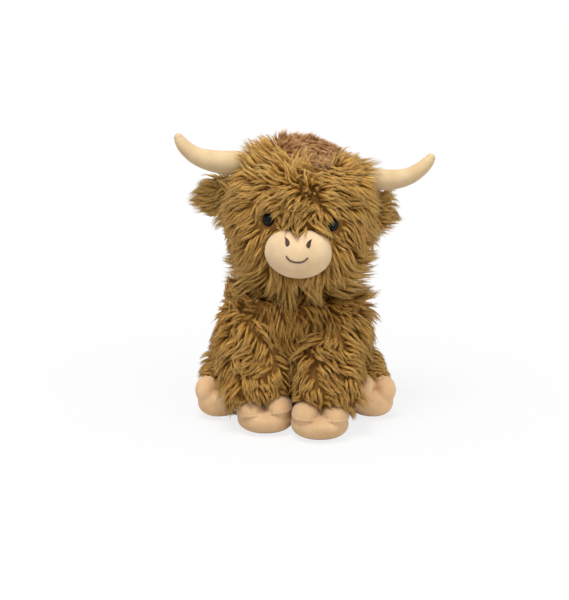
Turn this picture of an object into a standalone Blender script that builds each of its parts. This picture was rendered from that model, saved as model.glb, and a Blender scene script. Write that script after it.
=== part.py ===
"""A seated plush cow with long hair, sewn from fur and short-pile fabric over loose fillings.

Metres, +Z up. The front is -Y and the toy's own left is +X. The origin lies on the floor under the base panel.
A table whose name ends in shares holds parts of the sizes that it follows.
"""

import math

import bmesh
import bpy
from mathutils import Matrix, Vector

# Clearances
GAP = 0.0003
SWING_GAP = 0.0005
OVERRUN = 0.010
MERGE_DISTANCE = 0.00001
SHARP_ANGLE = math.radians(50)

# Body
BODY_HALF_WIDTH = 0.079
BODY_HALF_DEPTH = 0.066
BODY_SETBACK = 0.006
BODY_WALL = 0.014
NECK_HEIGHT = 0.130
NECK_LEAN = 0.018
NECK_RADIUS = 0.042
NECK_PLUG_RADIUS = 0.018
NECK_PLUG_DEPTH = 0.012
NECK_GAP = 0.003
NECK_THREAD_RADIUS = 0.0008
NECK_THREAD_SHARE = 0.45
NECK_THREAD_ANGLE = math.radians(46)
BASE_HALF_WIDTH = 0.046
BASE_HALF_DEPTH = 0.039
BASE_PANEL_THICKNESS = 0.003
BEAN_BAG_TOP = 0.045
BODY_SEGMENTS = 24
BODY_HOLLOW_SEGMENTS = 16
# Height over the neck's height, size over the widest, lean over the neck's lean
BELLY_SHARES = (
    (0.00, 0.76, 0.00),
    (0.12, 0.93, 0.00),
    (0.34, 1.00, 0.05),
    (0.58, 1.00, 0.25),
    (0.80, 0.96, 0.50),
    (0.95, 0.86, 0.80),
)
SHOULDER_HALF_WIDTH = 0.062
SHOULDER_HALF_DEPTH = 0.052
SHOULDER_RISE = 0.0055
SHOULDER_TILT = math.radians(9)
SHOULDER_LEAN = math.radians(8)
DOME_ANGLES = tuple(math.radians(angle) for angle in (93, 76, 60, 44, 28, 13))

# Head, about the neck's centre
HEAD_HALF_WIDTH = 0.074
HEAD_HALF_DEPTH = 0.067
HEAD_HALF_HEIGHT = 0.077
HEAD_FORWARD = 0.008
HEAD_SEAT_SHARE = 1.09
HEAD_WALL = 0.014
HEAD_ROLL = math.radians(4.5)
HEAD_SEGMENTS = 24
HEAD_RINGS = 14
HEAD_HOLLOW_SEGMENTS = 16
HEAD_HOLLOW_RINGS = 10

# Crown patch
CROWN_SIDE = 0.003
CROWN_FORWARD = 0.004
CROWN_HALF_WIDTH = 0.033
CROWN_HALF_DEPTH = 0.037
CROWN_SIDES = 18

# Muzzle and its embroidery
MUZZLE_HALF_WIDTH = 0.0338
MUZZLE_HALF_DEPTH = 0.026
MUZZLE_HALF_HEIGHT = 0.0238
MUZZLE_FORWARD_SHARE = 0.97
MUZZLE_DROP_SHARE = 0.368
MUZZLE_WALL = 0.0022
MUZZLE_SEGMENTS = 22
MUZZLE_RINGS = 12
MUZZLE_HOLLOW_SEGMENTS = 14
MUZZLE_HOLLOW_RINGS = 8
THREAD_THICKNESS = 0.0008
NOSTRIL_SPREAD = 0.011
NOSTRIL_RISE = 0.013
NOSTRIL_HEIGHT = 0.0090
NOSTRIL_WIDTH = 0.0046
NOSTRIL_LEAN = math.radians(24)
# Across over the width, up over the height
NOSTRIL_SHARES = ((0, 0.5), (0.24, 0.22), (0.5, -0.18), (0.3, -0.46), (-0.3, -0.46), (-0.5, -0.18), (-0.24, 0.22))
SMILE_HALF_WIDTH = 0.0114
SMILE_RISE = 0.0024
SMILE_DEPTH = 0.0060
SMILE_WIDTH = 0.0013
SMILE_STEPS = 8

# Eyes, on the head's surface
EYE_SIDE_SHARE = 0.443
EYE_RISE_SHARE = 0.028
EYE_RADIUS = 0.006
EYE_DOME = 0.0045
EYE_RIM = 0.0015
EYE_DEPTH = 0.0050
EYE_SHANK_RADIUS = 0.002
EYE_WASHER_RADIUS = 0.0072
EYE_WASHER_THICKNESS = 0.0015
EYE_WASHER_SINK = 0.0022
EYE_SEGMENTS = 12
EYE_ANGLES = tuple(math.radians(angle) for angle in (0, 35, 65, 90))

# Horns, about the head's centre
HORN_ROOT_SHARE = 0.45
HORN_RISE_SHARE = 0.585
HORN_BACK = 0.007
HORN_REACH = 0.098
HORN_LIFT = 0.025
HORN_SWEEP = 0.004
HORN_RADIUS = 0.0115
HORN_WALL = 0.002
HORN_SIDES = 12
# Reach, lift and radius over the horn's own
HORN_SHARES = (
    (0.00, 0.02, 1.00),
    (0.28, 0.00, 0.98),
    (0.50, -0.05, 0.88),
    (0.66, 0.02, 0.80),
    (0.80, 0.22, 0.70),
    (0.91, 0.55, 0.58),
    (0.97, 0.85, 0.45),
    (1.00, 1.03, 0.22),
)

# Ears, on the head's surface
EAR_BACK_SHARE = 0.47
EAR_RISE_SHARE = 0.22
EAR_ROOT_RADIUS = 0.008
EAR_LENGTH = 0.045
EAR_HALF_HEIGHT = 0.018
EAR_HALF_THICKNESS = 0.007
EAR_DROOP = math.radians(16)
EAR_SEAT_GAP = 0.0008
EAR_NECK_SHARE = 0.92
EAR_SWINGS = tuple(math.radians(angle) for angle in (-30, -15, 0, 15))
EAR_SIDES = 14
# Length, half height and half thickness over the ear's own
EAR_SHARES = (
    (0.14, 0.52, 0.98),
    (0.32, 0.80, 1.00),
    (0.55, 1.00, 0.95),
    (0.75, 0.88, 0.78),
    (0.90, 0.55, 0.50),
    (1.00, 0.16, 0.15),
)

# Front legs, from shoulder to ankle
SHOULDER_SIDE_SHARE = 0.50
SHOULDER_FORWARD_SHARE = 0.70
SHOULDER_HEIGHT_SHARE = 0.76
FRONT_LEG_HALF_WIDTH = 0.031
FRONT_LEG_HALF_DEPTH = 0.025
FRONT_LEG_WALL = 0.012
FRONT_ANKLE_SIDE_SHARES = {"left": 0.40, "right": 0.46}
FRONT_ANKLE_HEIGHT = 0.036
FRONT_ANKLE_AHEAD = {"left": 0.026, "right": 0.007}
FRONT_LEG_SHARES = ((0.00, 1.00), (0.35, 1.04), (0.70, 1.00), (1.00, 0.93))

# Hind legs, from haunch to ankle
HAUNCH_SIDE_SHARES = {"left": 0.85, "right": 0.81}
HAUNCH_BACK_SHARE = 0.18
HAUNCH_HALF_HEIGHT = 0.034
HIND_LEG_HALF_WIDTH = 0.027
HIND_LEG_WALL = 0.012
HIND_LEG_FLOOR_GAP = 0.004
HIND_ANKLE_SIDE_SHARES = {"left": 1.02, "right": 0.95}
HIND_ANKLE_FORWARD_SHARE = 0.48
HIND_LEG_SHARES = ((0.00, 1.00), (0.35, 0.98), (0.70, 0.86), (1.00, 0.74))
LIMB_SIDES = 14
LIMB_DOME_ANGLES = tuple(math.radians(angle) for angle in (72, 46, 22))
LIMB_END_ANGLES = tuple(math.radians(angle) for angle in (30, 62))
LIMB_END_SHARE = 0.45

# Hooves, each with a cleft between two toes
FRONT_HOOF_HALF_WIDTH = 0.0283
FRONT_HOOF_HALF_LENGTH = 0.027
FRONT_HOOF_HALF_HEIGHT = 0.0185
FRONT_HOOF_AHEAD = 0.007
FRONT_HOOF_INWARD = {"left": 0.005, "right": 0.008}
HIND_HOOF_HALF_WIDTH = 0.023
HIND_HOOF_HALF_LENGTH = 0.025
HIND_HOOF_HALF_THICKNESS = 0.018
HIND_HOOF_AHEAD = 0.013
HIND_HOOF_OUT = 0.005
HIND_HOOF_ROLL = math.radians(14)
HIND_HOOF_YAW = math.radians(16)
HOOF_WALL = 0.0022
HOOF_PRESS = 0.0005
HOOF_SEGMENTS = 20
HOOF_RINGS = 8
HOOF_HOLLOW_SEGMENTS = 12
HOOF_HOLLOW_RINGS = 6
CLEFT_SHARE = 0.20
CLEFT_WIDTH_SHARE = 0.2
STITCH_RADIUS = 0.0005
STITCH_LIFT = 0.0011
STITCH_RING_STEPS = (2, 3, 4, 5)

# Tail, sewn to the back
TAIL_HEIGHT_SHARE = 0.56
TAIL_ROOT_RADIUS = 0.007
TAIL_RADIUS = 0.0052
TAIL_BACK = 0.019
TAIL_DROP = 0.036
TAIL_SEAT_GAP = 0.0008
TUFT_RADIUS = 0.0115
TUFT_LENGTH = 0.034
TAIL_SIDES = 10
TAIL_SHARES = ((0.00, 0.00), (0.35, 0.06), (0.70, 0.25), (0.92, 0.60), (1.00, 1.00))
TUFT_SHARES = ((0.00, 0.30), (0.18, 0.74), (0.45, 1.00), (0.75, 0.80), (1.00, 0.22))

THREAD_SIDES = 6
SIDES = {"left": 1, "right": -1}

# Colour, roughness
FUR = ((0.36, 0.19, 0.065), 0.9)
CROWN_FUR = ((0.23, 0.11, 0.055), 0.9)
SHORT_PILE = ((0.80, 0.62, 0.42), 0.85)
HORN_PILE = ((0.84, 0.66, 0.42), 0.85)
FILLING = ((0.85, 0.85, 0.83), 0.95)
PELLET_BAG = ((0.70, 0.69, 0.64), 0.8)
BASE_FABRIC = ((0.22, 0.12, 0.05), 0.9)
EYE_PLASTIC = ((0.008, 0.008, 0.01), 0.08)
WASHER_PLASTIC = ((0.75, 0.75, 0.73), 0.4)
EMBROIDERY = ((0.07, 0.035, 0.02), 0.45)
SEWING_THREAD = ((0.62, 0.45, 0.29), 0.6)
SEAM_THREAD = ((0.30, 0.17, 0.07), 0.6)

# Places that follow from the sizes
NECK_CENTRE = Vector((0, BODY_SETBACK - NECK_LEAN, NECK_HEIGHT))
HEAD_CENTRE = Vector((0, -HEAD_FORWARD, HEAD_SEAT_SHARE * HEAD_HALF_HEIGHT))
HEAD_HALF = Vector((HEAD_HALF_WIDTH, HEAD_HALF_DEPTH, HEAD_HALF_HEIGHT))
MUZZLE_HALF = Vector((MUZZLE_HALF_WIDTH, MUZZLE_HALF_DEPTH, MUZZLE_HALF_HEIGHT))
MUZZLE_CENTRE = HEAD_CENTRE + Vector(
    (0, -MUZZLE_FORWARD_SHARE * HEAD_HALF_DEPTH, -MUZZLE_DROP_SHARE * HEAD_HALF_HEIGHT)
)


def clear_scene():
    for old in list(bpy.data.objects):
        bpy.data.objects.remove(old)


def mesh_of(shape, name):
    """Turns a closed bmesh into a mesh of triangles, split alike in nested forms, with its faces outwards."""
    bmesh.ops.recalc_face_normals(shape, faces=shape.faces)
    bmesh.ops.triangulate(shape, faces=shape.faces, quad_method="FIXED", ngon_method="BEAUTY")
    mesh = bpy.data.meshes.new(name)
    shape.to_mesh(mesh)
    shape.free()
    mesh.shade_smooth()
    mesh.set_sharp_from_angle(angle=SHARP_ANGLE)
    return mesh


def grown(mesh, distance):
    """A copy of a mesh with its surface moved outwards by a distance, or inwards where that is negative."""
    shape = bmesh.new()
    shape.from_mesh(mesh)
    shape.normal_update()
    moves = [(vertex, vertex.normal * (distance * vertex.calc_shell_factor())) for vertex in shape.verts]
    for vertex, move in moves:
        vertex.co += move
    return mesh_of(shape, mesh.name + "_grown")


def inner(half, inset):
    """The half sizes of a form that lies inside another by a distance, or outside it where that is negative."""
    return Vector([size - inset for size in half])


def ellipsoid(name, half, centre, segments, rings):
    shape = bmesh.new()
    place = Matrix.Translation(centre) @ Matrix.Diagonal((*half, 1))
    bmesh.ops.create_uvsphere(shape, u_segments=segments, v_segments=rings, radius=1, matrix=place)
    return mesh_of(shape, name)


def loft(name, ring_places, sides):
    """Unit circles put in their places, bridged one to the next and closed at both ends."""
    shape = bmesh.new()
    loops = []
    for index, place in enumerate(ring_places):
        capped = index in (0, len(ring_places) - 1)
        made = bmesh.ops.create_circle(shape, cap_ends=capped, segments=sides, radius=1, matrix=place)
        loops.append(list(made["verts"]))
    for lower, upper in zip(loops, loops[1:]):
        around = set(lower) | set(upper)
        edges = [edge for edge in shape.edges if edge.verts[0] in around and edge.verts[1] in around]
        bmesh.ops.bridge_loops(shape, edges=edges)
    return mesh_of(shape, name)


def ring_place(centre, side, other, half_side, half_other):
    """The matrix that lays a unit circle round a centre, across two directions."""
    along = side.cross(other)
    turn = Matrix((side * half_side, other * half_other, along * half_side)).transposed()
    return Matrix.Translation(centre) @ turn.to_4x4()


def tube(name, points, radii, across, sides):
    """A round tube along points that lie in a plane square to a direction, with a radius at each."""
    places = []
    for index, point in enumerate(points):
        before = points[max(index - 1, 0)]
        after = points[min(index + 1, len(points) - 1)]
        along = (after - before).normalized()
        places.append(ring_place(point, across, along.cross(across), radii[index], radii[index]))
    return loft(name, places, sides)


def cylinder(name, centre, half_width, half_depth, bottom, top, sides):
    """An upright elliptical cylinder."""
    places = [
        Matrix.Translation((centre[0], centre[1], height)) @ Matrix.Diagonal((half_width, half_depth, 1, 1))
        for height in (bottom, top)
    ]
    return loft(name, places, sides)


def turned(name, profile, axis_place, sides):
    """A profile of (radius, height) points turned round Z, then put in its place."""
    shape = bmesh.new()
    vertices = [shape.verts.new((radius, 0, height)) for radius, height in profile]
    edges = [shape.edges.new(pair) for pair in zip(vertices, vertices[1:])]
    bmesh.ops.spin(
        shape,
        geom=vertices + edges,
        cent=(0, 0, 0),
        axis=(0, 0, 1),
        angle=math.tau,
        steps=sides,
        use_merge=True,
    )
    bmesh.ops.remove_doubles(shape, verts=shape.verts, dist=MERGE_DISTANCE)
    bmesh.ops.transform(shape, matrix=axis_place, verts=shape.verts)
    return mesh_of(shape, name)


def prism(name, outline, front, back):
    """An outline of (x, z) points extruded along Y."""
    shape = bmesh.new()
    vertices = [shape.verts.new((x, front, z)) for x, z in outline]
    face = shape.faces.new(vertices)
    made = bmesh.ops.extrude_face_region(shape, geom=[face])
    moved = [item for item in made["geom"] if isinstance(item, bmesh.types.BMVert)]
    bmesh.ops.translate(shape, vec=(0, back - front, 0), verts=moved)
    return mesh_of(shape, name)


def empty(name, place, parent=None):
    """The joint that a moving group hangs on."""
    joint = bpy.data.objects.new(name, None)
    bpy.context.scene.collection.objects.link(joint)
    joint.matrix_world = place
    joint.parent = parent
    return joint


def put(obj, joint, local):
    """Hangs an object on a joint. Its mesh is in the joint's own frame where local is true, else in the world's."""
    bpy.context.scene.collection.objects.link(obj)
    if joint is None:
        return
    obj.parent = joint
    if not local:
        obj.matrix_parent_inverse = joint.matrix_world.inverted()


def cutter(name, mesh, joint=None, local=False):
    tool = bpy.data.objects.new("cut_" + name, mesh)
    tool.hide_render = True
    tool.display_type = "WIRE"
    put(tool, joint, local)
    return tool


def piece(name, mesh, finish, joint=None, local=False, cuts=(), within=(), joined=()):
    """A sub-part: its mesh, then what is joined to it, what bounds it and what is cut from it."""
    node = bpy.data.objects.new(name, mesh)
    put(node, joint, local)
    for operation, tools in (("UNION", joined), ("INTERSECT", within), ("DIFFERENCE", cuts)):
        for tool in tools:
            step = node.modifiers.new(f"{operation.lower()}_{tool.name}", "BOOLEAN")
            step.operation = operation
            step.solver = "EXACT"
            step.object = tool
    colour, roughness = finish
    material = bpy.data.materials.new(name)
    material.use_nodes = True
    shader = material.node_tree.nodes["Principled BSDF"]
    shader.inputs["Base Color"].default_value = (*colour, 1)
    shader.inputs["Roughness"].default_value = roughness
    shader.inputs["Metallic"].default_value = 0
    material.diffuse_color = (*colour, 1)
    mesh.materials.append(material)
    return node


def body_mesh(segments, shouldered):
    """The seated body: belly rings that lean forward as they rise, full shoulders where asked, and a dome."""
    places = []
    for height, size, lean in BELLY_SHARES:
        centre = (0, BODY_SETBACK - lean * NECK_LEAN, height * NECK_HEIGHT)
        half = (size * BODY_HALF_WIDTH, size * BODY_HALF_DEPTH, 1, 1)
        places.append(Matrix.Translation(centre) @ Matrix.Diagonal(half))
    if shouldered:
        leaned = Matrix.Translation(NECK_CENTRE) @ Matrix.Rotation(SHOULDER_LEAN, 4, "Y")
        raised = Matrix.Translation((0, 0, SHOULDER_RISE)) @ Matrix.Rotation(SHOULDER_TILT, 4, "X")
        places.append(leaned @ raised @ Matrix.Diagonal((SHOULDER_HALF_WIDTH, SHOULDER_HALF_DEPTH, 1, 1)))
    for angle in DOME_ANGLES:
        centre = NECK_CENTRE + Vector((0, 0, NECK_RADIUS * math.cos(angle)))
        half = NECK_RADIUS * math.sin(angle)
        places.append(Matrix.Translation(centre) @ Matrix.Diagonal((half, half, 1, 1)))
    return loft("body", places, segments)


def limb_mesh(name, start, end, half_side, half_other, shares):
    """A limb that swells and tapers from a rounded root to a blunt end."""
    along = (end - start).normalized()
    side = Vector((1, 0, 0))
    side = (side - along * side.dot(along)).normalized()
    other = along.cross(side)
    places = []
    for angle in LIMB_DOME_ANGLES:
        centre = start - along * (half_other * math.sin(angle))
        size = math.cos(angle)
        places.append(ring_place(centre, side, other, half_side * size, half_other * size))
    for share, size in shares:
        centre = start.lerp(end, share)
        places.append(ring_place(centre, side, other, half_side * size, half_other * size))
    last = shares[-1][1]
    for angle in LIMB_END_ANGLES:
        centre = end + along * (half_other * last * LIMB_END_SHARE * math.sin(angle))
        size = last * math.cos(angle)
        places.append(ring_place(centre, side, other, half_side * size, half_other * size))
    return loft(name, places, LIMB_SIDES)


def hoof_mesh(name, half, inset, segments, rings):
    """A rounded hoof with its toes at -Y and its sole at -Z, drawn in along the cleft between the toes."""
    shape = bmesh.new()
    bmesh.ops.create_uvsphere(shape, u_segments=segments, v_segments=rings, radius=1)
    for vertex in shape.verts:
        near = max(0, 1 - abs(vertex.co.x) / CLEFT_WIDTH_SHARE)
        vertex.co *= 1 - CLEFT_SHARE * near * max(0, -vertex.co.y)
    bmesh.ops.scale(shape, vec=inner(half, inset), verts=shape.verts)
    return mesh_of(shape, name)


def stitch_mesh(name, half):
    """The thread that lies in a hoof's cleft, along the rings of the hoof."""
    points = []
    for step in STITCH_RING_STEPS:
        angle = math.pi * step / HOOF_RINGS
        size = 1 - CLEFT_SHARE * math.sin(angle)
        floor = Vector((0, -half.y * math.sin(angle) * size, half.z * math.cos(angle) * size))
        outward = Vector((0, -math.sin(angle) / half.y, math.cos(angle) / half.z)).normalized()
        points.append(floor + outward * STITCH_LIFT)
    return tube(name, points, [STITCH_RADIUS] * len(points), Vector((1, 0, 0)), THREAD_SIDES)


def on_head(side_share, rise_share, side):
    """A point of the head's front surface at shares of its half width and half height, and the normal there."""
    forward_share = math.sqrt(1 - side_share**2 - rise_share**2)
    offset = Vector((side * side_share * HEAD_HALF.x, -forward_share * HEAD_HALF.y, rise_share * HEAD_HALF.z))
    normal = Vector([offset[axis] / HEAD_HALF[axis] ** 2 for axis in range(3)]).normalized()
    return HEAD_CENTRE + offset, normal


def horn_mesh(side):
    points = []
    for reach, lift, _ in HORN_SHARES:
        x = HORN_ROOT_SHARE * HEAD_HALF.x + reach * HORN_REACH
        z = HORN_RISE_SHARE * HEAD_HALF.z + lift * HORN_LIFT
        points.append(HEAD_CENTRE + Vector((side * x, HORN_BACK + reach * HORN_SWEEP, z)))
    radii = [size * HORN_RADIUS for _, _, size in HORN_SHARES]
    return tube("horn", points, radii, Vector((0, 1, 0)), HORN_SIDES)


def ear_mesh(rooted):
    """An ear along +X from the centre of its round root, with that root or cut short inside it."""
    rings = []
    if rooted:
        for angle in LIMB_DOME_ANGLES:
            half = EAR_ROOT_RADIUS * math.cos(angle)
            rings.append((-EAR_ROOT_RADIUS * math.sin(angle), half, half))
    else:
        half = EAR_ROOT_RADIUS * EAR_NECK_SHARE
        rings.append((0, half, half))
    for length, height, thickness in EAR_SHARES:
        rings.append((length * EAR_LENGTH, thickness * EAR_HALF_THICKNESS, height * EAR_HALF_HEIGHT))
    places = []
    for x, half_y, half_z in rings:
        places.append(ring_place(Vector((x, 0, 0)), Vector((0, 1, 0)), Vector((0, 0, 1)), half_y, half_z))
    return loft("ear", places, EAR_SIDES)


def make_embroidery(head):
    """The nostrils and the smile, thin raised threadwork that follows the muzzle's surface."""
    muzzle = ellipsoid("muzzle", MUZZLE_HALF, MUZZLE_CENTRE, MUZZLE_SEGMENTS, MUZZLE_RINGS)
    under = cutter("embroidery_under", grown(muzzle, GAP), head, True)
    over = cutter("embroidery_over", grown(muzzle, GAP + THREAD_THICKNESS), head, True)
    front = MUZZLE_CENTRE.y - MUZZLE_HALF.y - OVERRUN
    back = MUZZLE_CENTRE.y
    for name, side in SIDES.items():
        turn = Matrix.Rotation(-side * NOSTRIL_LEAN, 2)
        outline = []
        for across, up in NOSTRIL_SHARES:
            point = turn @ Vector((across * NOSTRIL_WIDTH, up * NOSTRIL_HEIGHT))
            outline.append((side * NOSTRIL_SPREAD + point.x, MUZZLE_CENTRE.z + NOSTRIL_RISE + point.y))
        nostril = prism("nostril", outline, front, back)
        piece(f"nostril_{name}", nostril, EMBROIDERY, head, True, cuts=[under], within=[over])
    edges = {}
    for shift in (-SMILE_WIDTH / 2, SMILE_WIDTH / 2):
        edges[shift] = []
        for step in range(-SMILE_STEPS, SMILE_STEPS + 1):
            share = step / SMILE_STEPS
            x = share * (SMILE_HALF_WIDTH + shift)
            z = MUZZLE_CENTRE.z + SMILE_RISE - SMILE_DEPTH * (1 - share**2) - shift
            edges[shift].append((x, z))
    upper, lower = edges.values()
    smile = prism("smile", upper + lower[::-1], front, back)
    piece("mouth_stitching", smile, EMBROIDERY, head, True, cuts=[under], within=[over])


def make_eye(name, side, head):
    """A moulded eye, its washer and the cutters for the cover and the filling behind it."""
    seat, normal = on_head(EYE_SIDE_SHARE, EYE_RISE_SHARE, side)
    place = Matrix.Translation(seat) @ normal.to_track_quat("Z", "Y").to_matrix().to_4x4()
    floor = -EYE_DEPTH
    shank_end = -HEAD_WALL - EYE_WASHER_SINK - 2 * EYE_WASHER_THICKNESS
    eye = [(0, shank_end), (EYE_SHANK_RADIUS, shank_end), (EYE_SHANK_RADIUS, floor), (EYE_RADIUS, floor)]
    for angle in EYE_ANGLES:
        eye.append((EYE_RADIUS * math.cos(angle), floor + EYE_RIM + EYE_DOME * math.sin(angle)))
    eye[-1] = (0, eye[-1][1])
    piece(f"eye_{name}", turned("eye", eye, place, EYE_SEGMENTS), EYE_PLASTIC, head, True)
    washer_top = -HEAD_WALL - EYE_WASHER_SINK
    washer_bottom = washer_top - EYE_WASHER_THICKNESS
    hole = EYE_SHANK_RADIUS + GAP
    ring = [
        (hole, washer_bottom),
        (EYE_WASHER_RADIUS, washer_bottom),
        (EYE_WASHER_RADIUS, washer_top),
        (hole, washer_top),
        (hole, washer_bottom),
    ]
    washer = turned("washer", ring, place, EYE_SEGMENTS)
    piece(f"eye_washer_{name}", washer, WASHER_PLASTIC, head, True)
    pocket = [
        (0, shank_end - EYE_WASHER_THICKNESS),
        (hole, shank_end - EYE_WASHER_THICKNESS),
        (hole, floor - GAP),
        (EYE_RADIUS + GAP, floor - GAP),
        (EYE_RADIUS + GAP, OVERRUN),
        (0, OVERRUN),
    ]
    room = [
        (0, shank_end - GAP),
        (hole, shank_end - GAP),
        (hole, washer_bottom - GAP),
        (EYE_WASHER_RADIUS + GAP, washer_bottom - GAP),
        (EYE_WASHER_RADIUS + GAP, OVERRUN),
        (0, OVERRUN),
    ]
    in_cover = cutter(f"eye_pocket_{name}", turned("pocket", pocket, place, EYE_SEGMENTS), head, True)
    in_filling = cutter(f"washer_room_{name}", turned("room", room, place, EYE_SEGMENTS), head, True)
    return in_cover, in_filling


def make_horn(name, side, head, head_hollow):
    outer = horn_mesh(side)
    piece(
        f"horn_cover_{name}",
        outer,
        HORN_PILE,
        head,
        True,
        cuts=[cutter(f"horn_hollow_{name}", grown(outer, -HORN_WALL), head, True), head_hollow],
    )
    piece(f"horn_stuffing_{name}", grown(outer, -HORN_WALL - GAP), FILLING, head, True, cuts=[head_hollow])
    return cutter(f"horn_{name}", grown(outer, GAP), head, True)


def make_ear(name, side, head):
    """An ear hinged at its round root, and the cutters that let it swing."""
    forward = math.sqrt(1 - EAR_BACK_SHARE**2 - EAR_RISE_SHARE**2)
    root = HEAD_CENTRE + Vector(
        (side * forward * HEAD_HALF.x, EAR_BACK_SHARE * HEAD_HALF.y, EAR_RISE_SHARE * HEAD_HALF.z)
    )
    facing = Matrix.Rotation(math.pi if side < 0 else 0, 4, "Z")
    rest = Matrix.Translation(root) @ facing @ Matrix.Rotation(EAR_DROOP, 4, "Y")
    joint = empty(f"ear_joint_{name}", rest, head)
    piece(f"ear_{name}", ear_mesh(True), FUR, joint, True)
    seat = ellipsoid("ear_seat", [EAR_ROOT_RADIUS + EAR_SEAT_GAP] * 3, root, EAR_SIDES, EAR_SIDES)
    rooms = [cutter(f"ear_seat_{name}", seat, head, True)]
    leaf = grown(ear_mesh(False), EAR_SEAT_GAP)
    for index, swing in enumerate(EAR_SWINGS):
        mesh = leaf.copy()
        mesh.transform(rest @ Matrix.Rotation(-swing, 4, "Y"))
        rooms.append(cutter(f"ear_room_{index}_{name}", mesh, head, True))
    return rooms


def head_form(name, inset):
    return ellipsoid(name, inner(HEAD_HALF, inset), HEAD_CENTRE, HEAD_HOLLOW_SEGMENTS, HEAD_HOLLOW_RINGS)


def muzzle_form(name, inset):
    half = inner(MUZZLE_HALF, inset)
    return ellipsoid(name, half, MUZZLE_CENTRE, MUZZLE_HOLLOW_SEGMENTS, MUZZLE_HOLLOW_RINGS)


def make_head(head):
    outer = ellipsoid("head", HEAD_HALF, HEAD_CENTRE, HEAD_SEGMENTS, HEAD_RINGS)
    whole = cutter("head_whole", outer, head, True)
    hollow = cutter("head_hollow", head_form("hollow", HEAD_WALL), head, True)
    room = NECK_RADIUS + NECK_GAP
    neck_ball = ellipsoid("neck_ball", [room] * 3, Vector(), HEAD_SEGMENTS, HEAD_RINGS)
    neck = cutter("neck_ball", neck_ball, head, True)
    crown_centre = (CROWN_SIDE, HEAD_CENTRE.y - CROWN_FORWARD)
    crown_top = HEAD_CENTRE.z + HEAD_HALF.z + OVERRUN
    crown = cylinder(
        "crown", crown_centre, CROWN_HALF_WIDTH, CROWN_HALF_DEPTH, HEAD_CENTRE.z, crown_top, CROWN_SIDES
    )
    crown_cut = cutter("crown", grown(crown, GAP), head, True)
    muzzle = ellipsoid("muzzle", MUZZLE_HALF, MUZZLE_CENTRE, MUZZLE_SEGMENTS, MUZZLE_RINGS)
    muzzle_cut = cutter("muzzle", grown(muzzle, GAP), head, True)
    muzzle_hollow = cutter("muzzle_hollow", muzzle_form("muzzle_hollow", MUZZLE_WALL), head, True)
    muzzle_filling = muzzle_form("muzzle_filling", MUZZLE_WALL + GAP)
    piece("muzzle_cover", muzzle, SHORT_PILE, head, True, cuts=[muzzle_hollow, hollow])
    piece("muzzle_stuffing", muzzle_filling, FILLING, head, True, cuts=[hollow])
    make_embroidery(head)
    cover_cuts = [hollow, neck, muzzle_cut, crown_cut]
    filling_cuts = [neck]
    horns = []
    for name, side in SIDES.items():
        pocket, washer_room = make_eye(name, side, head)
        cover_cuts.append(pocket)
        filling_cuts.append(washer_room)
        horns.append(make_horn(name, side, head, hollow))
        cover_cuts += make_ear(name, side, head)
    piece("crown_panel", crown, CROWN_FUR, head, True, cuts=[hollow] + horns, within=[whole])
    piece("head_cover", outer.copy(), FUR, head, True, cuts=cover_cuts + horns)
    piece("head_stuffing", head_form("filling", HEAD_WALL + GAP), FILLING, head, True, cuts=filling_cuts)


def make_neck(neck, seam):
    """The plug of filling that turns in the body's neck, and the seam thread between the dome and the head."""
    ball = ellipsoid("neck_top", [NECK_RADIUS] * 3, NECK_CENTRE, BODY_SEGMENTS, HEAD_RINGS)
    within = cutter("neck_top", ball)
    bottom = NECK_CENTRE.z - NECK_PLUG_DEPTH
    top = NECK_CENTRE.z + NECK_RADIUS + OVERRUN
    plug = cylinder("plug", NECK_CENTRE, NECK_PLUG_RADIUS, NECK_PLUG_RADIUS, bottom, top, BODY_SEGMENTS)
    piece("neck_stuffing", plug, FILLING, neck, within=[within])
    reach = NECK_RADIUS + NECK_THREAD_SHARE * NECK_GAP
    circle = (reach * math.sin(NECK_THREAD_ANGLE), reach * math.cos(NECK_THREAD_ANGLE))
    section = []
    for step in range(THREAD_SIDES + 1):
        angle = math.tau * step / THREAD_SIDES
        radius = circle[0] + NECK_THREAD_RADIUS * math.cos(angle)
        section.append((radius, circle[1] + NECK_THREAD_RADIUS * math.sin(angle)))
    thread = turned("neck_thread", section, Matrix.Translation(NECK_CENTRE), BODY_SEGMENTS)
    piece("neck_thread", thread, SEAM_THREAD, seam)
    return cutter("plug", grown(plug, GAP))


def make_tail():
    """A thin tail that hangs from a round root in the back and ends in a tuft."""
    height = TAIL_HEIGHT_SHARE * NECK_HEIGHT
    back = BODY_SETBACK + BODY_HALF_DEPTH
    root = Vector((0, back - TAIL_ROOT_RADIUS / 2, height))
    points = []
    for out, down in TAIL_SHARES:
        points.append(root + Vector((0, out * TAIL_BACK, -down * TAIL_DROP)))
    radii = [TAIL_RADIUS] * len(points)
    across = Vector((1, 0, 0))
    ball = ellipsoid("tail_root", [TAIL_ROOT_RADIUS] * 3, root, TAIL_SIDES, TAIL_SIDES)
    joint = empty("tail_joint", Matrix.Translation(root))
    strand = tube("tail", points, radii, across, TAIL_SIDES)
    piece("tail_cover", strand, FUR, joint, joined=[cutter("tail_root", ball, joint)])
    end = points[-1]
    places = []
    for down, size in TUFT_SHARES:
        centre = end + Vector((0, 0, TAIL_RADIUS - down * TUFT_LENGTH))
        half = size * TUFT_RADIUS
        places.append(Matrix.Translation(centre) @ Matrix.Diagonal((half, half, 1, 1)))
    tuft = loft("tuft", places, TAIL_SIDES)
    piece("tail_tuft", tuft, FUR, joint, cuts=[cutter("tail", grown(strand, GAP), joint)])
    return [
        cutter("tail_seat", grown(ball, TAIL_SEAT_GAP), joint),
        cutter("tail_path", grown(strand, TAIL_SEAT_GAP), joint),
    ]


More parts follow.
